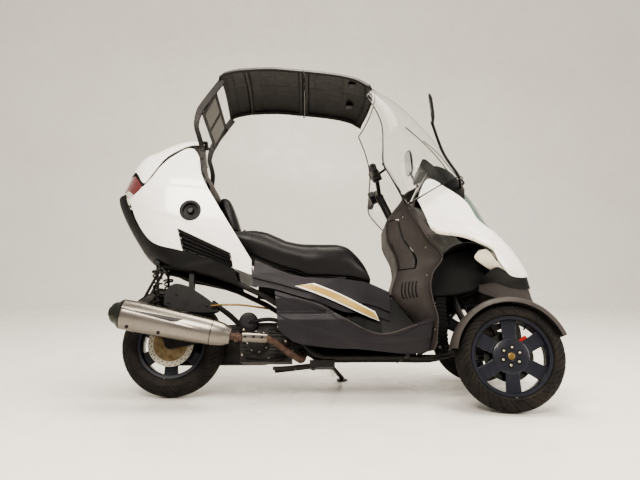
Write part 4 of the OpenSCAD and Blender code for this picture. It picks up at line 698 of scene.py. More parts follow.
skin("shield_skin", [shield], FADED, "leg_shield", keep=solid_shield, shell=PANEL + 1, edge=1, swap=True)
z, y = np.meshgrid(np.linspace(607, 853, 40), np.linspace(-163, -117, 14), indexing="ij")
lid_face = shield_x(y, z) - 0.8 + 1.5 * smooth((np.abs(z - 730) - 104) / 6)
skin("glove_skin", [np.stack([lid_face, y, z], -1)], FADED, "glove_lid", shell=PANEL, edge=1.2, swap=True)
latch_x = shield_x(-122, 730)
boxes("glove_latch", [((latch_x - 3, -127, 718), (latch_x + 1, -118, 742))], SATIN, "glove_lid")
NOSE = [[455, 1826], [540, 1806], [599, 1790], [666, 1757], [734, 1710], [810, 1643], [866, 1600], [940, 1560],
        [1020, 1518], [1155, 1452], [1250, 1402]]
front_section = [[455, 0.42], [520, 0.55], [560, 0.66], [600, 0.82], [680, 0.94], [760, 1], [900, 0.98],
                 [1060, 0.84], [1160, 0.72]]
COWL_W, COWL_REAR = 245, 1230


def front_half(x, z):
    """Half width of the front: a table by height, closing on the nose line as a superellipse."""
    u = np.clip((x - COWL_REAR) / (lookup(z, NOSE) - COWL_REAR), 0, 1)
    return COWL_W * lookup(z, front_section) * np.sqrt(1 - u ** 2.4)


def on_front(g, depth=0.0):
    """Side-view grid laid on the right of the front, sunk by a depth."""
    x, z = g[..., 0], g[..., 1]
    return np.stack([x - depth, np.minimum(depth - front_half(x, z), 0), z + 0 * x], -1)


inner = curve([[1156, 918], [1168, 868], [1202, 806], [1240, 752], [1268, 748]], 12)
outer = curve([[1200, 938], [1190, 896], [1212, 846], [1258, 790], [1282, 768]], 12)
across_trim = np.linspace(-1, 1, 17)[None]
skin("shield_trims", left_too([on_front(between(inner, outer, 16), 1.5 + 4 * across_trim ** 4)]), FADED,
     "leg_shield", shell=PANEL, edge=1.5)
spots = np.array([[-218, 300], [-214, 560], [-205, 700], [-185, 860], [-150, 960]], float)
spots = np.concatenate([spots, spots * [-1, 1]])
screws = np.stack([shield_x(spots[:, 0], spots[:, 1]), spots[:, 0], spots[:, 1]], -1)
heads("shield_screws", screws, [-1, 0, 0.1], 5, 2, BOLT, "leg_shield")
# black strips laid on the shield's face where its vent slots are: painted shade of the slot openings, the shield is
# not cut there
slots = []
for y in (-186, -176, -166, -156, -146):
    z, w = np.meshgrid(np.linspace(458, 538, 12), np.linspace(-2.2, 2.2, 3), indexing="ij")
    slots.append(np.stack([shield_x(y + w, z) - 0.8, y + w, z], -1))
skin("shield_vents", slots, BLACK, "leg_shield", shell=0.5)

z, y = np.meshgrid(np.linspace(614, 850, 20), np.linspace(-160, -112, 8), indexing="ij")
skin("glove_box_back", [np.stack([shield_x(y, z) + 14, y, z], -1)], BLACK, "leg_shield", shell=2)

# Front body
low = curve([[1262, 781], [1300, 757], [1407, 745], [1504, 718], [1572, 688], [1600, 640], [1660, 580],
             [1740, 575], [1788, 596]], 14)
high = curve([[1200, 935], [1262, 1052], [1360, 1004], [1455, 940], [1510, 850], [1590, 806], [1660, 788],
              [1715, 728], [1792, 600]], 14)
g = between(low, high, 38)
v = np.linspace(0, 1, 39)[None, :]
crease = 2.5 * smooth((0.30 - v) / 0.05) * smooth((1560 - g[..., 0]) / 60)
skin("cowl_flanks", left_too([on_front(g, crease)]), WHITE, "front_cowl", shell=PANEL, edge=1, swap=True)
lip = low[:58]
skin("cowl_lips", left_too([on_front(between(lip, lip + [0, 15], 4), -0.2)]), CREAM, "front_cowl", shell=2)
# cream inner flange where the panel turns in over the wheel
turn_out = curve([[1550, 700], [1585, 672], [1604, 640], [1640, 604], [1668, 590]], 12)
turn_in = curve([[1535, 694], [1516, 676], [1508, 655], [1540, 630], [1600, 600], [1656, 590]], 9)
turn_in = turn_in[np.linspace(0, len(turn_in) - 1, len(turn_out)).round().astype(int)]
flange = between(turn_out, turn_in, 10)
depth = PANEL + 3 + 22 * np.linspace(0, 1, 11)[None]
skin("cowl_flanges", left_too([on_front(flange, depth)]), CREAM, "front_cowl", shell=2)
spots = np.array([[1268, 774], [1351, 758], [1466, 740]], float)
rivets = on_front(spots, -0.4)
heads("cowl_rivets", np.concatenate([rivets, rivets * [1, -1, 1]]), [[0, -1, 0]] * 3 + [[0, 1, 0]] * 3, 4.5, 2,
      BOLT, "front_cowl")

low = curve([[1210, 935], [1264, 1040], [1360, 992], [1440, 944], [1462, 1008]], 14)
high = curve([[1215, 985], [1290, 1125], [1370, 1130], [1446, 1086], [1488, 1048]], 14)
g = on_front(between(low, high, 20), PANEL + 1.5)
skin("cowl_top_skin", [whole(g, 16, 14)], SATIN, "cowl_top", shell=PANEL, edge=1, swap=True)

low = curve([[1458, 916], [1510, 836], [1588, 796], [1632, 788]], 14)
high = curve([[1466, 1010], [1560, 930], [1600, 866], [1646, 800]], 14)
g = between(low, high, 20)
skin("lamp_glass", [whole(on_front(g, PANEL + 3))], GREEN, "headlamp", shell=3, edge=1, swap=True)
skin("lamp_back", [whole(on_front(g, PANEL + 8))], SATIN, "headlamp", shell=2)
for side in (-1, 1):
    cup = spun([(2, 30), (18, 27), (32, 18), (38, 4)][::-1], 40)
    cup = np.stack([-cup[..., 1], cup[..., 0], cup[..., 2]], -1)
    a = radians(28)
    x, y, z = cup[..., 0], cup[..., 1], cup[..., 2]
    cup = np.stack([x * cos(a) - z * sin(a), y, x * sin(a) + z * cos(a)], -1)
    tag = "right" if side < 0 else "left"
    skin(f"lamp_cup_{tag}", [cup + [1508, side * 66, 880]], MIRROR, "headlamp", loop=True)

low = curve([[1520, 500], [1600, 476], [1700, 462], [1770, 458], [1824, 458]], 14)
high = curve([[1520, 560], [1594, 612], [1664, 590], [1740, 585], [1784, 604]], 14)
g = between(low, high, 30)
v = np.linspace(0, 1, 31)[None, :]
skin("chin_skins", left_too([on_front(g[:, 15:], PANEL + 2.4)]), SATIN, "chin", shell=PANEL, edge=2, swap=True)
skin("chin_feet", left_too([on_front(g[:, :17], PANEL + 9)]), FADED, "chin", shell=PANEL, edge=1)

arch = curve([[1248, 490], [1275, 580], [1312, 655], [1375, 702], [1468, 720], [1550, 688], [1590, 640]], 12)
out = arch - [1450, 480]
out = out / np.linalg.norm(out, axis=1)[:, None]
q = (arch + PANEL * out)[:, None]
f = np.linspace(1, 0, 21)[None]
wide = front_half(arch[:, :1] + PANEL + 2, arch[:, 1:]) - PANEL + 0.6
hood = np.stack([q[..., 0] + 0 * f, -92 - f * (wide - 92), q[..., 1] + 0 * f], -1)
skin("arch_hoods", left_too([hood]), BLACK, "arch_liners", shell=PANEL, edge=0.8, swap=True)
foot = curve([[1262, 486], [1300, 480], [1350, 480], [1400, 484], [1480, 506], [1550, 540], [1588, 596]], 12)
fan = between(arch, foot, 16)
skin("arch_walls", left_too([np.stack([fan[..., 0], -92 + 0 * fan[..., 0], fan[..., 1]], -1)[:, ::-1]]), BLACK,
     "arch_liners", shell=PANEL)

# Windscreen, wiper and mirrors
screen_middle = [[1120, 1486], [1190, 1430], [1290, 1360], [1378, 1290], [1470, 1205], [1536, 1130], [1578, 1066],
                 [1592, 1036]]
screen_edge = [[880, 1134, 296], [935, 1100, 332], [1004, 1054, 368], [1068, 1020, 380], [1165, 1024, 365],
               [1285, 1028, 325], [1390, 1004, 288], [1492, 960, 250]]


def screen(n, ts, inset=0.0):
    """Windscreen: each row half an ellipse from edge to edge, its rows on smooth curves through two tables."""
    c, e = curve(screen_middle, n), curve(screen_edge, n)
    t = np.radians(ts)[None]
    ex, ez, w, cx, cz = (a[:, None] for a in (e[:, 1], e[:, 0], e[:, 2], c[:, 1], c[:, 0]))
    return np.stack([ex + (cx - ex - inset) * np.cos(t), (w - inset) * np.sin(t), ez + (cz - ez) * np.cos(t)], -1)


skin("screen_glass", [screen(8, np.linspace(90, -90, 73))], CLEAR, "windscreen", shell=5, swap=True)
glass = screen(8, np.linspace(90, -90, 73), 2.5)
sideways, upward = (0, 1, 0), (0, 0, 1)
borders = ((glass[:, 0], sideways), (glass[:, -1], sideways), (glass[-1], upward), (glass[0], upward))
skin("screen_edges", [tube(line, 6.4, 8, up) for line, up in borders], BLACK, "windscreen", ring=True, caps=True)
arm = tube(curve([[1504, 20, 1120], [1462, 32, 1186], [1384, 48, 1306], [1312, 84, 1396]], 10),
           np.linspace(10, 6, 31), 12)
blade = tube(curve([[1450, 90, 1200], [1388, 88, 1296], [1306, 88, 1392], [1216, 88, 1480]], 10), 7, 12)
spindle = tube([[1470.6, 20, 1076.6], [1504, 20, 1122]], 14, 20)
skin("wiper_arms", [arm, blade, spindle], SATIN, "wiper", ring=True, caps=True, swap=True)


def shell_rings(stations, place):
    """Rounded rectangles of (x, half width, half height) along X, corners a superellipse, put in place."""
    a = np.linspace(0, 2 * pi, 48, endpoint=False)
    x, w, h = np.array(stations, float).T
    c, s = (np.sign(f) * np.abs(f) ** 0.5 for f in (np.cos(a), np.sin(a)))
    return place(np.stack([x[:, None] + 0 * c, w[:, None] * c, h[:, None] * s], -1))


def at_mirror(p):
    """Right mirror's head, turned a little inward and back."""
    a, b = radians(-4), radians(-10)
    x, y, z = p[..., 0] * cos(a) + p[..., 2] * sin(a), p[..., 1], p[..., 2] * cos(a) - p[..., 0] * sin(a)
    return np.stack([x * cos(b) - y * sin(b) + 1256, x * sin(b) + y * cos(b) - 342, z + 1365], -1)


stem = tube(curve([[1440, -148.4, 1030], [1412, -226, 1064], [1328, -292, 1160], [1270, -338, 1306]], 10), 14,
            16, (1, 0, 0))
head_shell = shell_rings([(6.5, 50, 71), (7, 53, 74), (12, 54, 75), (17, 51, 72), (22, 44, 62), (25, 36, 52)],
                         at_mirror)
glass = shell_rings([(5.8, 47, 68), (6.8, 48, 69)], at_mirror)
skin("mirror_shells", left_too([stem, head_shell]), SATIN, "mirrors", ring=True, caps=True, swap=True)
skin("mirror_glasses", left_too([glass]), MIRROR, "mirrors", ring=True, caps=True)

# Roof
ROOF_HALF, ROOF_CROWN, ROOF_T, SPLIT = 250, 39, 8, 640
roof_edge = [[205, 1605], [235, 1630], [340, 1653], [472, 1659], [615, 1648], [788, 1629], [900, 1604],
             [975, 1562]]


def roof_z(x, v):
    """Height of the roof: its long edge's line, a parabola across, rolled down at the edges."""
    return lookup(x, roof_edge) + ROOF_CROWN * (1 - v * v) - 18 * np.abs(v) ** 30


def roof_grid(xs, vs, drop=0.0, narrow=0.0):
    """Roof surface or, with a drop, its underside; the front edge bows forward in the middle."""
    x, v = np.meshgrid(xs, vs, indexing="ij")
    bow = 46 * smooth((x - 840) / 130) * (1 - v * v)
    return np.stack([x + bow, v * (ROOF_HALF - narrow * (np.abs(v) > 0.95)), roof_z(x, v) - drop], -1)


across_roof = np.unique(np.concatenate([np.linspace(-1, 1, 65), [-.985, -.97, .97, .985]]))
for name, start, end in (("roof_rear", 205, SPLIT - 4), ("roof_front", SPLIT + 4, 974)):
    xs = np.linspace(start, end, 90)
    x, v = np.meshgrid(xs, across_roof, indexing="ij")
    seam = smooth(1.4 - np.abs(((v + 1) * 2.5) % 1 - 0.5) / 0.016)
    seam = 2.2 * (seam + smooth(1.4 - np.abs((x / 74) % 1 - 0.5) / 0.045))
    ribs = 12 * np.max([smooth(1.6 - np.abs(x - c) / 10) for c in (338, 625, 655, 952)], 0) * (np.abs(v) < 0.96)
    outside = roof_grid(xs, across_roof)
    inside = roof_grid(xs, across_roof, ROOF_T - seam * (ribs < 1) + ribs, ROOF_T)
    ring_grid = np.concatenate([outside, inside[:, ::-1]], 1)
    skin(f"{name}_shell", [ring_grid], ROOF, name, ring=True, caps=True, swap=True)
at_split = [SPLIT - 4, SPLIT - 1, SPLIT + 3.2]
seal = [roof_grid(at_split, across_roof, 1.5), roof_grid(at_split, across_roof, ROOF_T + 9, 2)[:, ::-1]]
skin("roof_seal", [np.concatenate(seal, 1)], RUBBER, "roof_rear", ring=True, caps=True, swap=True)
pivot_z = roof_z(np.array(SPLIT), np.array(0)) + 11
for name, side, ys in (("roof_rear", -1, (-52, 52)), ("roof_front", 1, (-30, 30))):
    knuckles = [tube([[SPLIT, y - 10, pivot_z], [SPLIT, y + 10, pivot_z]], 14) for y in ys]
    skin(f"{name}_knuckles", knuckles, FRAME, name, ring=True, caps=True)
    near, far = sorted((SPLIT + side * 5, SPLIT + side * 44))
    boxes(f"{name}_straps", [((near, y - 10, pivot_z - 13), (far, y + 10, pivot_z - 7)) for y in ys], FRAME, name)
LATCH_X, latches = 900, []
for y in (-120, 120):
    z = float(roof_z(np.array(float(LATCH_X)), np.array(y / ROOF_HALF)))
    latches.append(((LATCH_X - 20, y - 22, z - 19), (LATCH_X + 18, y + 22, z - 7)))
boxes("roof_latches", latches, SATIN, "roof_front", edge=3)

PILLAR_Y = ROOF_HALF - 22
# half width of the tail's closing panel, the gap to the pillar's foot, and half the pillar's thickness
foot_y = 178 + 0.3 + 6
head_z = float(roof_z(np.array(205.), np.array(0.92))) - ROOF_T - 14.4
path = curve([[119, -foot_y, 1112], [123, -foot_y, 1150], [127, -foot_y, 1215], [113, -206, 1276],
              [98, -222, 1332], [108, -PILLAR_Y, 1398], [132, -PILLAR_Y, 1450], [222, -PILLAR_Y, head_z]], 8)
t = np.gradient(path, axis=0)
n = np.cross(t, [0, 1, 0])
n = n / np.linalg.norm(n, axis=1)[:, None] * (np.interp(path[:, 2], [1330, 1420], [24, 34]) / 2)[:, None]
corner = [np.array(c) for c in ((1, -1), (1, 1), (-1, 1), (-1, -1))]
bar = np.stack([path + [0, c[0] * 6, 0] + c[1] * n for c in corner], 1)
skin("roof_pillars", left_too([bar]), FRAME, "roof_frame", ring=True, caps=True, swap=True, edge=2)
bolt = np.array([[119, -foot_y - 6, 1125], [124, -foot_y - 6, 1170], [127, -foot_y - 6, 1215]])
heads("pillar_bolts", np.concatenate([bolt, bolt * [1, -1, 1]]), [[0, -1, 0]] * 3 + [[0, 1, 0]] * 3, 8, 5, BAR,
      "roof_frame", sides=6, dome=0.1)


def at_window(p):
    """Rear window's frame, leaning forward at its top."""
    a = radians(25)
    x, y, z = p[..., 0], p[..., 1], p[..., 2]
    return row(np.stack([x * cos(a) + z * sin(a) + 157, y, z * cos(a) - x * sin(a) + 1462], -1))


bars = [((-4, -223, 56), (4, 223, 75)), ((-4, -223, -75), (4, 223, -56)), ((-4, -223, -56), (4, -190, 56)),
        ((-4, 190, -56), (4, 223, 56)), ((-4, -14, -56), (4, 14, 56))]
boxes("window_frame", bars, ROOF, "roof_frame", place=at_window, edge=2)

# Wheels
def tyre_grid(d, w, rim_d, crown, turns, blocks):
    """Tyre: round crown, walls with two rings, and slanted grooves sunk in the tread; turns points around."""
    a = np.arcsin(w / 2 / crown)
    r, bead_r, half = d / 2, rim_d / 2 + 13.5, w * 0.37 + 5.5
    t = np.linspace(a, -a, 29)
    tread = np.stack([r - crown + crown * np.cos(t), crown * np.sin(t)], -1)
    u = np.linspace(0, 1, 13)[:-1]
    low_r, low_y = bead_r + 1, half
    wall = np.stack([low_r + (tread[0, 0] - low_r) * u, low_y + (w / 2 - low_y) * np.sin(u * pi / 2) ** 0.8], -1)
    wall[:, 1] += 0.9 * (np.exp(-((u - 0.3) / 0.03) ** 2) + np.exp(-((u - 0.62) / 0.03) ** 2))
    wall[:, 1] = np.minimum(wall[:, 1], w / 2)
    inside = [(rim_d / 2 + 14, -half + 6), (rim_d / 2 + 14, half - 6)]
    profile = np.concatenate([wall, tread, wall[::-1] * [1, -1], inside])
    grid = spun(profile, turns)
    k = slice(len(wall), len(wall) + len(tread))
    around = np.linspace(0, 1, turns, endpoint=False)[:, None]
    v = t[None] / a
    phase = (around * blocks + 1.1 * np.abs(v) ** 1.4 + 0.5 * (v > 0)) % 1
    groove = smooth((0.075 - np.abs(phase - 0.5)) / 0.03) * smooth((np.abs(v) - 0.12) / 0.06)
    second = smooth((0.05 - np.abs((phase + 0.5) % 1 - 0.5)) / 0.025) * smooth((np.abs(v) - 0.55) / 0.06)
    depth = 4.5 * np.maximum(groove, second * 0.8)
    angle = around * 2 * pi
    out = np.stack([np.cos(t) * np.cos(angle), np.sin(t) + 0 * angle, np.cos(t) * np.sin(angle)], -1)
    grid[:, k] -= depth[..., None] * out
    return grid


def barrel(rim_d, w):
    """Rim barrel: flanges, bead seats and the drop between, as one closed ring profile."""
    r, h = rim_d / 2, w * 0.37
    outside = [(r + 12, h + 5), (r + 13, h + 4), (r + 13, h + 1), (r + 1, h), (r, h - 4), (r - 1, h - 16),
               (r - 2, 0), (r - 1, 16 - h), (r, 4 - h), (r + 1, -h), (r + 13, -h - 1), (r + 13, -h - 4),
               (r + 12, -h - 5)]
    inside = [(r + 6, -h - 4), (r - 2, -h - 3), (r - 6, -h + 8), (r - 7, 0), (r - 6, h - 8), (r - 2, h + 3),
              (r + 6, h + 4)]
    return spun(outside + inside, 144)


def spoke_set(reach, dish, count=6):
    """Broad spokes: rounded bars from the hub plate out to the barrel, a little wider towards the barrel."""
    r = np.linspace(36, reach, 26)
    half = 31 + 4 * ((r - 36) / (reach - 36)) ** 4
    front = -dish + 1.5 * smooth((r - 86) / 8) - 0.5
    a = np.linspace(0, 2 * pi, 40, endpoint=False)
    c, s = (np.sign(f) * np.abs(f) ** 0.28 for f in (np.cos(a), np.sin(a)))
    x = half[:, None] * c
    y = (front + 10)[:, None] + 10 * s[None] + 2.2 * np.cos(pi * c / 2)[None] * (s < 0)
    parts = []
    for k in range(count):
        b = 2 * pi * k / count
        z = r[:, None] + 0 * x
        parts.append(np.stack([x * cos(b) + z * sin(b), y, z * cos(b) - x * sin(b)], -1))
    return parts


def wheel(tag, d, w, rim_d, crown, dish, place, rim_node, tyre_node, turns, blocks):
    """Whole wheel as a tyre, a barrel, spokes, a hub plate whose nuts sit on black seats and rings painted as the
    shade of sunk pockets, a centre cap and a valve.
    """
    skin(f"{tag}_tyre_rubber", [tyre_grid(d, w, rim_d, crown, turns, blocks)], RUBBER, tyre_node, place, ring=True,
         loop=True, swap=True, sharp=30)
    skin(f"{tag}_barrel", [barrel(rim_d, w)], RIM, rim_node, place, ring=True, loop=True, swap=True, sharp=30)
    skin(f"{tag}_spokes", spoke_set(rim_d / 2 - 4, dish), RIM, rim_node, place, ring=True, caps=True, sharp=50)
    hub = [(16, -dish - 3), (20, -dish - 6), (25, -dish - 6), (27, -dish - 3), (76, -dish - 3), (80, -dish - 1),
           (81, -dish + 16), (46, -dish + 18), (46, -dish + 36), (14, -dish + 36)]
    skin(f"{tag}_hub", [spun(hub[::-1], 96)], RIM, rim_node, place, ring=True, loop=True, sharp=30)
    a = np.radians(np.arange(6) * 60 + 22)
    at = np.stack([40 * np.cos(a), 0 * a - dish - 3, 40 * np.sin(a)], -1)
    # black lip rings and seats around each nut: painted shade of the pockets the nuts sink into, the hub plate
    # stays flat
    lip = [(11.5, -dish - 3.2), (12.5, -dish - 3.8), (13.5, -dish - 3.2)]
    cups = [spun(lip[::-1], 28, (p[0], 0, p[2])) for p in at]
    skin(f"{tag}_nut_rings", cups, BLACK, rim_node, place, loop=True)
    heads(f"{tag}_nut_pocket_shades", at, [0, -1, 0], 11.5, 0.5, BLACK, rim_node, place, sides=24, dome=0.1)
    heads(f"{tag}_nuts", at, [0, -1, 0], 6, 4, BOLT, rim_node, place, sides=6, dome=0.3)
    heads(f"{tag}_cap", [0, -dish - 3, 0], [0, -1, 0], 15.5, 4, BRASS, rim_node, place, sides=40, dome=0.4)
    r = rim_d / 2 - 8
    valve = tube([[r * 0.5, -8, r * 0.866], [r * 0.44, -16, r * 0.76]], 8, 14)
    skin(f"{tag}_valve", [valve], BLACK, rim_node, place, ring=True, caps=True)


CALIPER_AT = radians(35)


def tipped(p):
    """Points of the caliper turned about the wheel's axle to its place."""
    c, s = cos(CALIPER_AT), sin(CALIPER_AT)
    return np.stack([p[..., 0] * c - p[..., 2] * s, p[..., 1], p[..., 0] * s + p[..., 2] * c], -1)


wheel("rear", REAR_D, REAR_W, REAR_RIM, REAR_W * 0.54, 30, at_rear, "rear_rim", "rear_tyre", 416, 26)
for tag, side in (("right", -1), ("left", 1)):
    place = at_front(side)
    rim = f"front_rim_{tag}"
    wheel(tag, FRONT_D, FRONT_W, FRONT_RIM, FRONT_W * 0.51, 34, place, rim, f"front_tyre_{tag}", 384, 24)
    rotor = [(66, 20.5), (110, 20.5), (110, 15.5), (66, 15.5)]
    skin(f"{tag}_front_disc", [spun(rotor, 96)], CHROME, rim, place, ring=True, loop=True, sharp=30)
    carrier = [spun([(30, 19), (68, 19), (68, 17), (30, 17)], 48), spun([(36, 18), (37, 2), (30, 2)], 48)]
    skin(f"{tag}_disc_carrier", carrier, CAST, rim, place, loop=True, sharp=30)
    # caliper over the disc, its red face showing between the spokes
    put = lambda p, corner=steered(side): corner(tipped(np.asarray(p, float)))
    caliper = [((70, -KINGPIN_IN - 1, -35), (118, -KINGPIN_IN + 10, 35)),
               ((78, -KINGPIN_IN - 3, -22), (110, -KINGPIN_IN, 22))]
    boxes(f"{tag}_caliper", caliper, RED, f"knuckle_{tag}", place=put, edge=4)
    # mudguard: a wide arc, rolled down at both edges, with a stiffening bead on each side
    ang = np.radians(np.linspace(172, 20, 90))[:, None]
    v = np.linspace(1, -1, 33)[None]
    r = FRONT_D / 2 + 24 - 26 * np.abs(v) ** 6 + 1.5 * np.exp(-((np.abs(v) - 0.62) / 0.05) ** 2) - 1.5
    y = -KINGPIN_IN - v * (FRONT_W / 2 + 5 + PANEL)
    arc = np.stack([r * np.cos(ang), y + 0 * ang, r * np.sin(ang)], -1)
    skin(f"fender_{tag}_skin", [arc], FENDER, f"fender_{tag}", steered(side), shell=PANEL, edge=1, swap=True)

ang = np.radians(np.linspace(160, 62, 60))[:, None]
v = np.linspace(1, -1, 25)[None]
r = REAR_D / 2 + 28 - 10 * v ** 4
guard = np.stack([r * np.cos(ang), -v * (REAR_W / 2 + 12) + 0 * ang, REAR_Z + r * np.sin(ang)], -1)
skin("rear_guard_skin", [guard], BLACK, "rear_mudguard", shell=PANEL, edge=1, swap=True)
stay = np.array([-0.43, 0, -0.903])
stay_head = np.array([-78, 0, 640]) + stay * 12.3
stays = [tube([stay_head + [0, y, 0], stay_head + [0, y, 0] + stay * 157], 14) for y in (-34, 34)]
skin("rear_guard_stays", stays, FRAME, "rear_mudguard", ring=True, caps=True)

# Rear shocks, muffler, exhaust and engine details
parts, wires = [], []
for foot, top in (((-48, -122, REAR_Z + 60), (-78, -122, 640)), ((-48, 126, REAR_Z + 108.3), (-78, 126, 640))):
    foot, top = np.array(foot), np.array(top)
    v = top - foot
    long = np.linalg.norm(v)
    turn = np.array([[v[2], 0, v[0]], [0, long, 0], [-v[0], 0, v[2]]]) / long
    along = lambda rz: np.array([[0, 0, z] for z in rz], float) @ turn.T + foot
    parts.append(tube(along([2, long * 0.5]), 20, 24))
    parts.append(tube(along([long * 0.5, long - 2]), 13, 24))
    parts.append(tube(along([long * 0.16, long * 0.16 + 6]), 54, 32))
    parts.append(tube(along([long * 0.86, long * 0.86 + 8]), 54, 32))
    parts += [tube([c - [0, 15, 0], c + [0, 15, 0]], 28, 24, (0, 0, 1)) for c in (foot, top)]
    a = np.linspace(0, 16 * pi, 16 * 12 + 1)
    low, high = long * 0.16 + 10.3, long * 0.86 - 4.3
    helix = np.stack([21 * np.cos(a), 21 * np.sin(a), low + (high - low) * a / (16 * pi)], -1) @ turn.T + foot
    wires.append(tube(helix, 8, 10, (0.05, 0, 1)))
skin("shock_bodies", parts, SHOCK, "rear_shocks", ring=True, caps=True, swap=True)
skin("shock_springs", wires, SHOCK, "rear_shocks", ring=True, caps=True)

TAIL_END, NOSE_END = np.array([-236, -268, 378]), np.array([309, -254, 268])
line = NOSE_END - TAIL_END
e1 = line / np.linalg.norm(line)
e2 = np.cross([0, 0, 1], e1)
e2 /= np.linalg.norm(e2)
e3 = np.cross(e1, e2)


def can(s, t, out=0.0):
    """Muffler skin: oval sections of a smooth size along its line, a soft ridge along its outer side."""
    size = lookup(s, [[0, 0.52], [0.02, 0.66], [0.045, 0.74], [0.09, 0.98], [0.2, 1], [0.55, 0.94],
                      [0.82, 0.86], [0.93, 0.74], [1, 0.5]])
    w, h = 56 * size * np.cos(t), 70 * size * np.sin(t)
    q = np.where(np.cos(t) < 0, 0.36 - 0.58 * (s - 0.08) - np.sin(t), -9)
    fold = 3.4 * smooth(q / (0.15 - 0.13 * s)) * (1 - smooth((q - 0.2) / 0.9))
    fold = fold * smooth((s - 0.08) / 0.03) * smooth((0.86 - s) / 0.5)
    push = 1 + (out + fold) / 60
    return TAIL_END + s[..., None] * line + (w * push)[..., None] * e2 + (h * push)[..., None] * e3


along_can = np.concatenate([np.linspace(0, 0.09, 15), np.linspace(0.095, 1, 90)])
s, t = np.meshgrid(along_can, np.linspace(0, 2 * pi, 144, endpoint=False), indexing="ij")
skin("muffler_can", [can(s, t)[15:]], STEEL, "muffler", ring=True, caps=True, swap=True)
skin("muffler_tail_cap", [can(s, t)[:15]], CHROME, "muffler", ring=True, caps=True)
s, t = np.meshgrid(np.linspace(0.205, 0.225, 4), np.linspace(0, 2 * pi, 72, endpoint=False), indexing="ij")
skin("muffler_band", [can(s, t, 1.5)], STEEL, "muffler", ring=True)
# dark inlay laid on the can over its slot window: painted shade standing for the recess, the can is not cut
u, t = np.meshgrid(np.linspace(0, 1, 40), np.linspace(0, 1, 9), indexing="ij")
top_line, low_line = np.interp(u, [0, 1], [0.30, 0.40]), np.interp(u, [0, 0.8, 0.9, 1], [0.29, 0.09, 0.14, 0.38])
slot_s, slot_h = 0.20 + 0.40 * u, low_line + (top_line - low_line) * t
slot = can(slot_s, pi - np.arcsin(slot_h), 0.7)
skin("muffler_slot", [slot[:, ::-1]], SATIN, "muffler", shell=0.5)
s, t = np.meshgrid(np.linspace(0.838, 0.846, 3), np.linspace(0, 2 * pi, 96, endpoint=False), indexing="ij")
skin("muffler_seam", [can(s, t, 0.3)], CHROME, "muffler", ring=True)
tip = spun([(21, 6), (22, -8), (18, -8), (17, 6)], 40)
tip = TAIL_END + tip[..., 1:2] * e1 + tip[..., 0:1] * e2 + tip[..., 2:] * e3
skin("muffler_outlet", [tip[:, ::-1]], BLACK, "muffler", loop=True)
brackets = [tube([[x, -140.0, 272], [x, -212, 296]], 16) for x in (110, 180)]
skin("muffler_brackets", brackets, FRAME, "muffler", ring=True, caps=True)
bolt_at = can(np.array([0.17, 0.43]), np.array([pi + 0.9, pi + 0.9]), 0.5)
heads("muffler_bolts", bolt_at, [0, -0.8, -0.6], 8, 5, BAR, "muffler", sides=6, dome=0.15)

port_end = np.array([640, -58, 200])
port = np.array([0, -58, -40]) / np.hypot(58, 40)
route = curve([NOSE_END + e1, NOSE_END + e1 * 22, NOSE_END + e1 * 38, [360, -241, 264], [414, -228, 264],
               [468, -212, 262], [520, -184, 240], [560, -156, 210], [600, -128, 186], [630, -98, 172],
               port_end + port * 20, port_end], 8)
skin("exhaust_tube", [tube(route, 33, 24, (0, 0, 1))], RUST, "exhaust_pipe", ring=True, caps=True, swap=True)
skin("exhaust_collar", [tube([NOSE_END + e1 * 23, NOSE_END + e1 * 39], 45, 32, (0, 0, 1))], RUST,
     "exhaust_pipe", ring=True, caps=True)
guard = curve([[360, -241, 264], [388, -235, 265], [414, -228, 264], [442, -221, 263], [468, -212, 262]], 8)
skin("heat_guard", [tube(guard, 47, 32, (0, 0, 1))], STEEL, "exhaust_pipe", ring=True, caps=True)
heads("heat_guard_screws", [[376, -262, 264], [414, -252, 264], [452, -242, 262]], [0.25, -1, 0], 6, 3, BAR,
      "exhaust_pipe")
pipe = curve([[201, -176, 420], [260, -180, 424], [342, -176, 424], [420, -150, 418], [475, -120, 414]], 8)
skin("brass_pipe", [tube(pipe, 9, 14, (0, 0, 1))], BRASS, "engine", ring=True, caps=True)
heads("engine_cover", [374, -72, 356], [0, -1, 0], 47, 18, COVER, "engine", sides=64, dome=0.25)
heads("engine_cover_face", [374, -90, 356], [0, -1, 0], 34, 4, GREY, "engine", sides=64, dome=0.3)
heads("engine_side_cover", [420, -92, 262], [0, -1, 0], 46, 5, COVER, "engine", sides=64, dome=0.5)
rotor_y = -REAR_W * 0.37 - 18 - 2.6
rotor = [(110, rotor_y + 2.5), (110, rotor_y - 0.3), (84, rotor_y - 0.3), (84, rotor_y + 2.5)]
skin("rear_rotor_ring", [spun(rotor, 96)], BOLT, "rear_disc", at_rear, loop=True, sharp=30)
# dark dots on the steel ring where its drilled holes are: painted shade of the holes, the ring is not cut
a = np.radians(np.concatenate([np.arange(24) * 15, np.arange(24) * 15 + 7.5]))
r = np.repeat([103, 92], 24)
holes = np.stack([r * np.cos(a), 0 * a + rotor_y - 0.2, r * np.sin(a)], -1)
heads("rear_rotor_holes", holes, [0, -1, 0], 3, 0.3, SATIN, "rear_disc", at_rear, sides=12, dome=0.1)
a = np.radians(np.arange(8) * 45 + 10)
bolts = np.stack([420 + 50 * np.cos(a), 0 * a - 76, 262 + 50 * np.sin(a)], -1)
heads("cover_bolts", bolts, [0, -1, 0], 4, 4, BOLT, "engine", sides=6, dome=0.2)
boxes("engine_ribs", [((345 + 22 * i, -64, 172), (350 + 22 * i, -58, 196)) for i in range(10)], CAST, "engine")
boxes("engine_fins", [((338, -67, 204 + 17 * i), (402 - 4 * (i % 2), -59, 209 + 17 * i)) for i in range(8)]
      + [((470, -67, 186 + 17 * i), (578, -59, 191 + 17 * i)) for i in range(9)], CAST, "engine", edge=1)
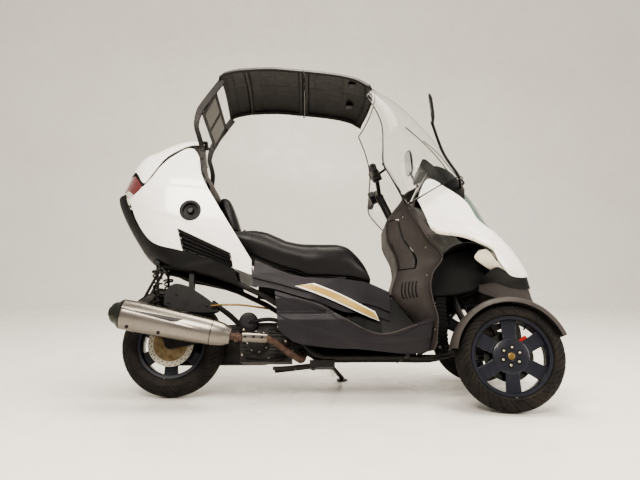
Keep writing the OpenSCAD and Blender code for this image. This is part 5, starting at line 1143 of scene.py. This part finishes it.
HOSES = (([[606, -48, 292], [566, -86, 338], [486, -96, 366], [400, -92, 356], [344, -70, 330]], 20),
         ([[330, -66, 344], [286, -104, 384], [236, -120, 420], [200, -118, 446]], 26),
         ([[560, -62, 190], [500, -92, 176], [430, -96, 172], [366, -70, 180]], 13),
         ([[640, -30, 262], [660, -84, 300], [610, -120, 352], [540, -122, 392]], 15))
hoses = [tube(curve(h, 8), d, 16, (0, 0, 1)) for h, d in HOSES]
skin("engine_hoses", hoses, BLACK, "engine", ring=True, caps=True)
heads("engine_bosses", [[520, -60, 330], [556, -60, 262], [352, -60, 318]], [0, -1, 0], 19, 24, COVER, "engine",
      sides=40, dome=0.3)
bolts = [[520, -84, 330], [556, -84, 262], [352, -84, 318], [474, -60, 186], [576, -60, 346], [344, -60, 200]]
heads("engine_bolts", bolts, [0, -1, 0], 6, 5, BOLT, "engine", sides=6, dome=0.2)
heads("air_box_boss", [[30, -156, 480], [180, -156, 425], [-5, -156, 440]], [0, -1, 0], 7, 4, BAR, "air_box",
      sides=6)
a = np.linspace(0, 14 * pi, 14 * 14)
for k, (p, q) in enumerate((((752, 150, 214), (812, 262, 120)), ((742, 158, 208), (800, 268, 112)))):
    p, q = np.array(p, float), np.array(q, float)
    v = (q - p) / np.linalg.norm(q - p)
    u = np.cross(v, [1, 0, 0]) / np.linalg.norm(np.cross(v, [1, 0, 0]))
    w = np.cross(v, u)
    f = (a / a[-1])[:, None]
    spring = p + f * (q - p) + 6 * (np.cos(a)[:, None] * u + np.sin(a)[:, None] * w)
    wire = tube(spring, 2.6, 6, tuple(v + [0.01, 0, 0]))
    skin(f"stand_spring_{k}", [wire], BOLT, "side_stand", ring=True, caps=True)

# Handlebar details
for side, tag in ((-1, "right"), (1, "left")):
    n = 90
    y = np.linspace(side * (BAR_HALF - 120), side * (BAR_HALF - 8), n)
    mid = np.stack([12 - 11 * np.linspace(0, 1, n), y, 0 * y], -1)
    sleeve = tube(mid, 34.6 + 0.8 * np.cos(np.linspace(0, 28 * pi, n)), 28, (0, 0, 1))
    skin(f"grip_{tag}", [sleeve], GRIP, "handlebar", at_bar, ring=True, caps=True)
    heads(f"lever_ball_{tag}", [56, side * 336, -6], [0, side, 0], 8, 8, BAR, "handlebar", at_bar, sides=20,
          dome=0.8)
    pod = ((-6, side * 166 - 14, -2), (26, side * 166 + 14, 30))
    boxes(f"switch_pod_{tag}", [pod], BAR, "handlebar", at_bar, edge=4)
z, y = np.meshgrid(np.linspace(0, 1, 14), np.linspace(-1, 1, 25), indexing="ij")
dial = np.stack([1243.5 + 20 * z, 74 * y, 1164 + 30 * z], -1)
skin("dial_face", [dial - [3, 0, 0]], GREEN, "instrument_pod", shell=2, edge=1)

# Studio
u = np.linspace(-1, 1, 60)
s = np.linspace(0, 1, 90)
# where the floor bends up, the bend's radius and the floor's half width, in metres
FAR, BEND, WIDE = 4.2, 2.2, 9
around_bend = np.clip((s - 0.6) / 0.2, 0, 1) * pi / 2
depth = np.where(s < 0.6, -WIDE + (WIDE + FAR) * s / 0.6, FAR + BEND * np.sin(around_bend))
rise = np.where(s < 0.6, 0, BEND * (1 - np.cos(around_bend)) + WIDE * np.clip((s - 0.8) / 0.2, 0, 1))
sweep = np.stack([WIDE * u[:, None] + 0 * depth, depth + 0 * u[:, None], rise + 0 * u[:, None]], -1)
me = bpy.data.meshes.new("studio_floor")
i, j = np.meshgrid(np.arange(59), np.arange(89), indexing="ij")
cells = np.stack([i * 90 + j, i * 90 + 90 + j, i * 90 + 91 + j, i * 90 + j + 1], -1).reshape(-1, 4)
me.from_pydata(sweep.reshape(-1, 3).tolist(), [], cells.tolist())
me.shade_smooth()
me.materials.append(FLOOR[0])
floor = bpy.data.objects.new("studio_floor", me)
bpy.context.scene.collection.objects.link(floor)

world = bpy.data.worlds.new("studio")
bpy.context.scene.world = world
bpy.context.scene.view_settings.look = "AgX - Medium High Contrast"
bpy.context.scene.view_settings.exposure = 0.25
world.use_nodes = True
world.node_tree.nodes["Background"].inputs[0].default_value = rgb("#e6e2da")
world.node_tree.nodes["Background"].inputs[1].default_value = 0.75


def softbox(name, at, aim, size, power, tone="#fff6ea"):
    """Large soft light at a point, aimed at another."""
    lamp = bpy.data.lights.new(name, "AREA")
    lamp.shape, lamp.size, lamp.size_y = "RECTANGLE", size[0], size[1]
    lamp.energy, lamp.color = power, rgb(tone)[:3]
    ob = bpy.data.objects.new(name, lamp)
    bpy.context.scene.collection.objects.link(ob)
    ob.location = at
    v = np.array(aim, float) - at
    ob.rotation_euler = (np.arccos(-v[2] / np.linalg.norm(v)), 0, np.arctan2(v[1], v[0]) - pi / 2)


softbox("key", (-1.2, -3.4, 3.6), (0, 0, 0.6), (2.4, 1.6), 190)
softbox("top", (0.4, 0.4, 4.2), (0, 0.1, 0), (3.0, 2.0), 230)
softbox("fill", (3.6, -2.2, 1.8), (0.2, 0, 0.6), (1.6, 2.0), 80)

# camera at the height, distance and lens of the photograph's view
camera = bpy.data.objects.new("camera", bpy.data.cameras.new("camera"))
bpy.context.scene.collection.objects.link(camera)
bpy.context.scene.camera = camera
camera.location = (-0.0995, -3.2476, 0.738)
camera.rotation_euler = (radians(90.498), 0, radians(-1.104))
camera.data.lens, camera.data.sensor_width = 35.26, 36
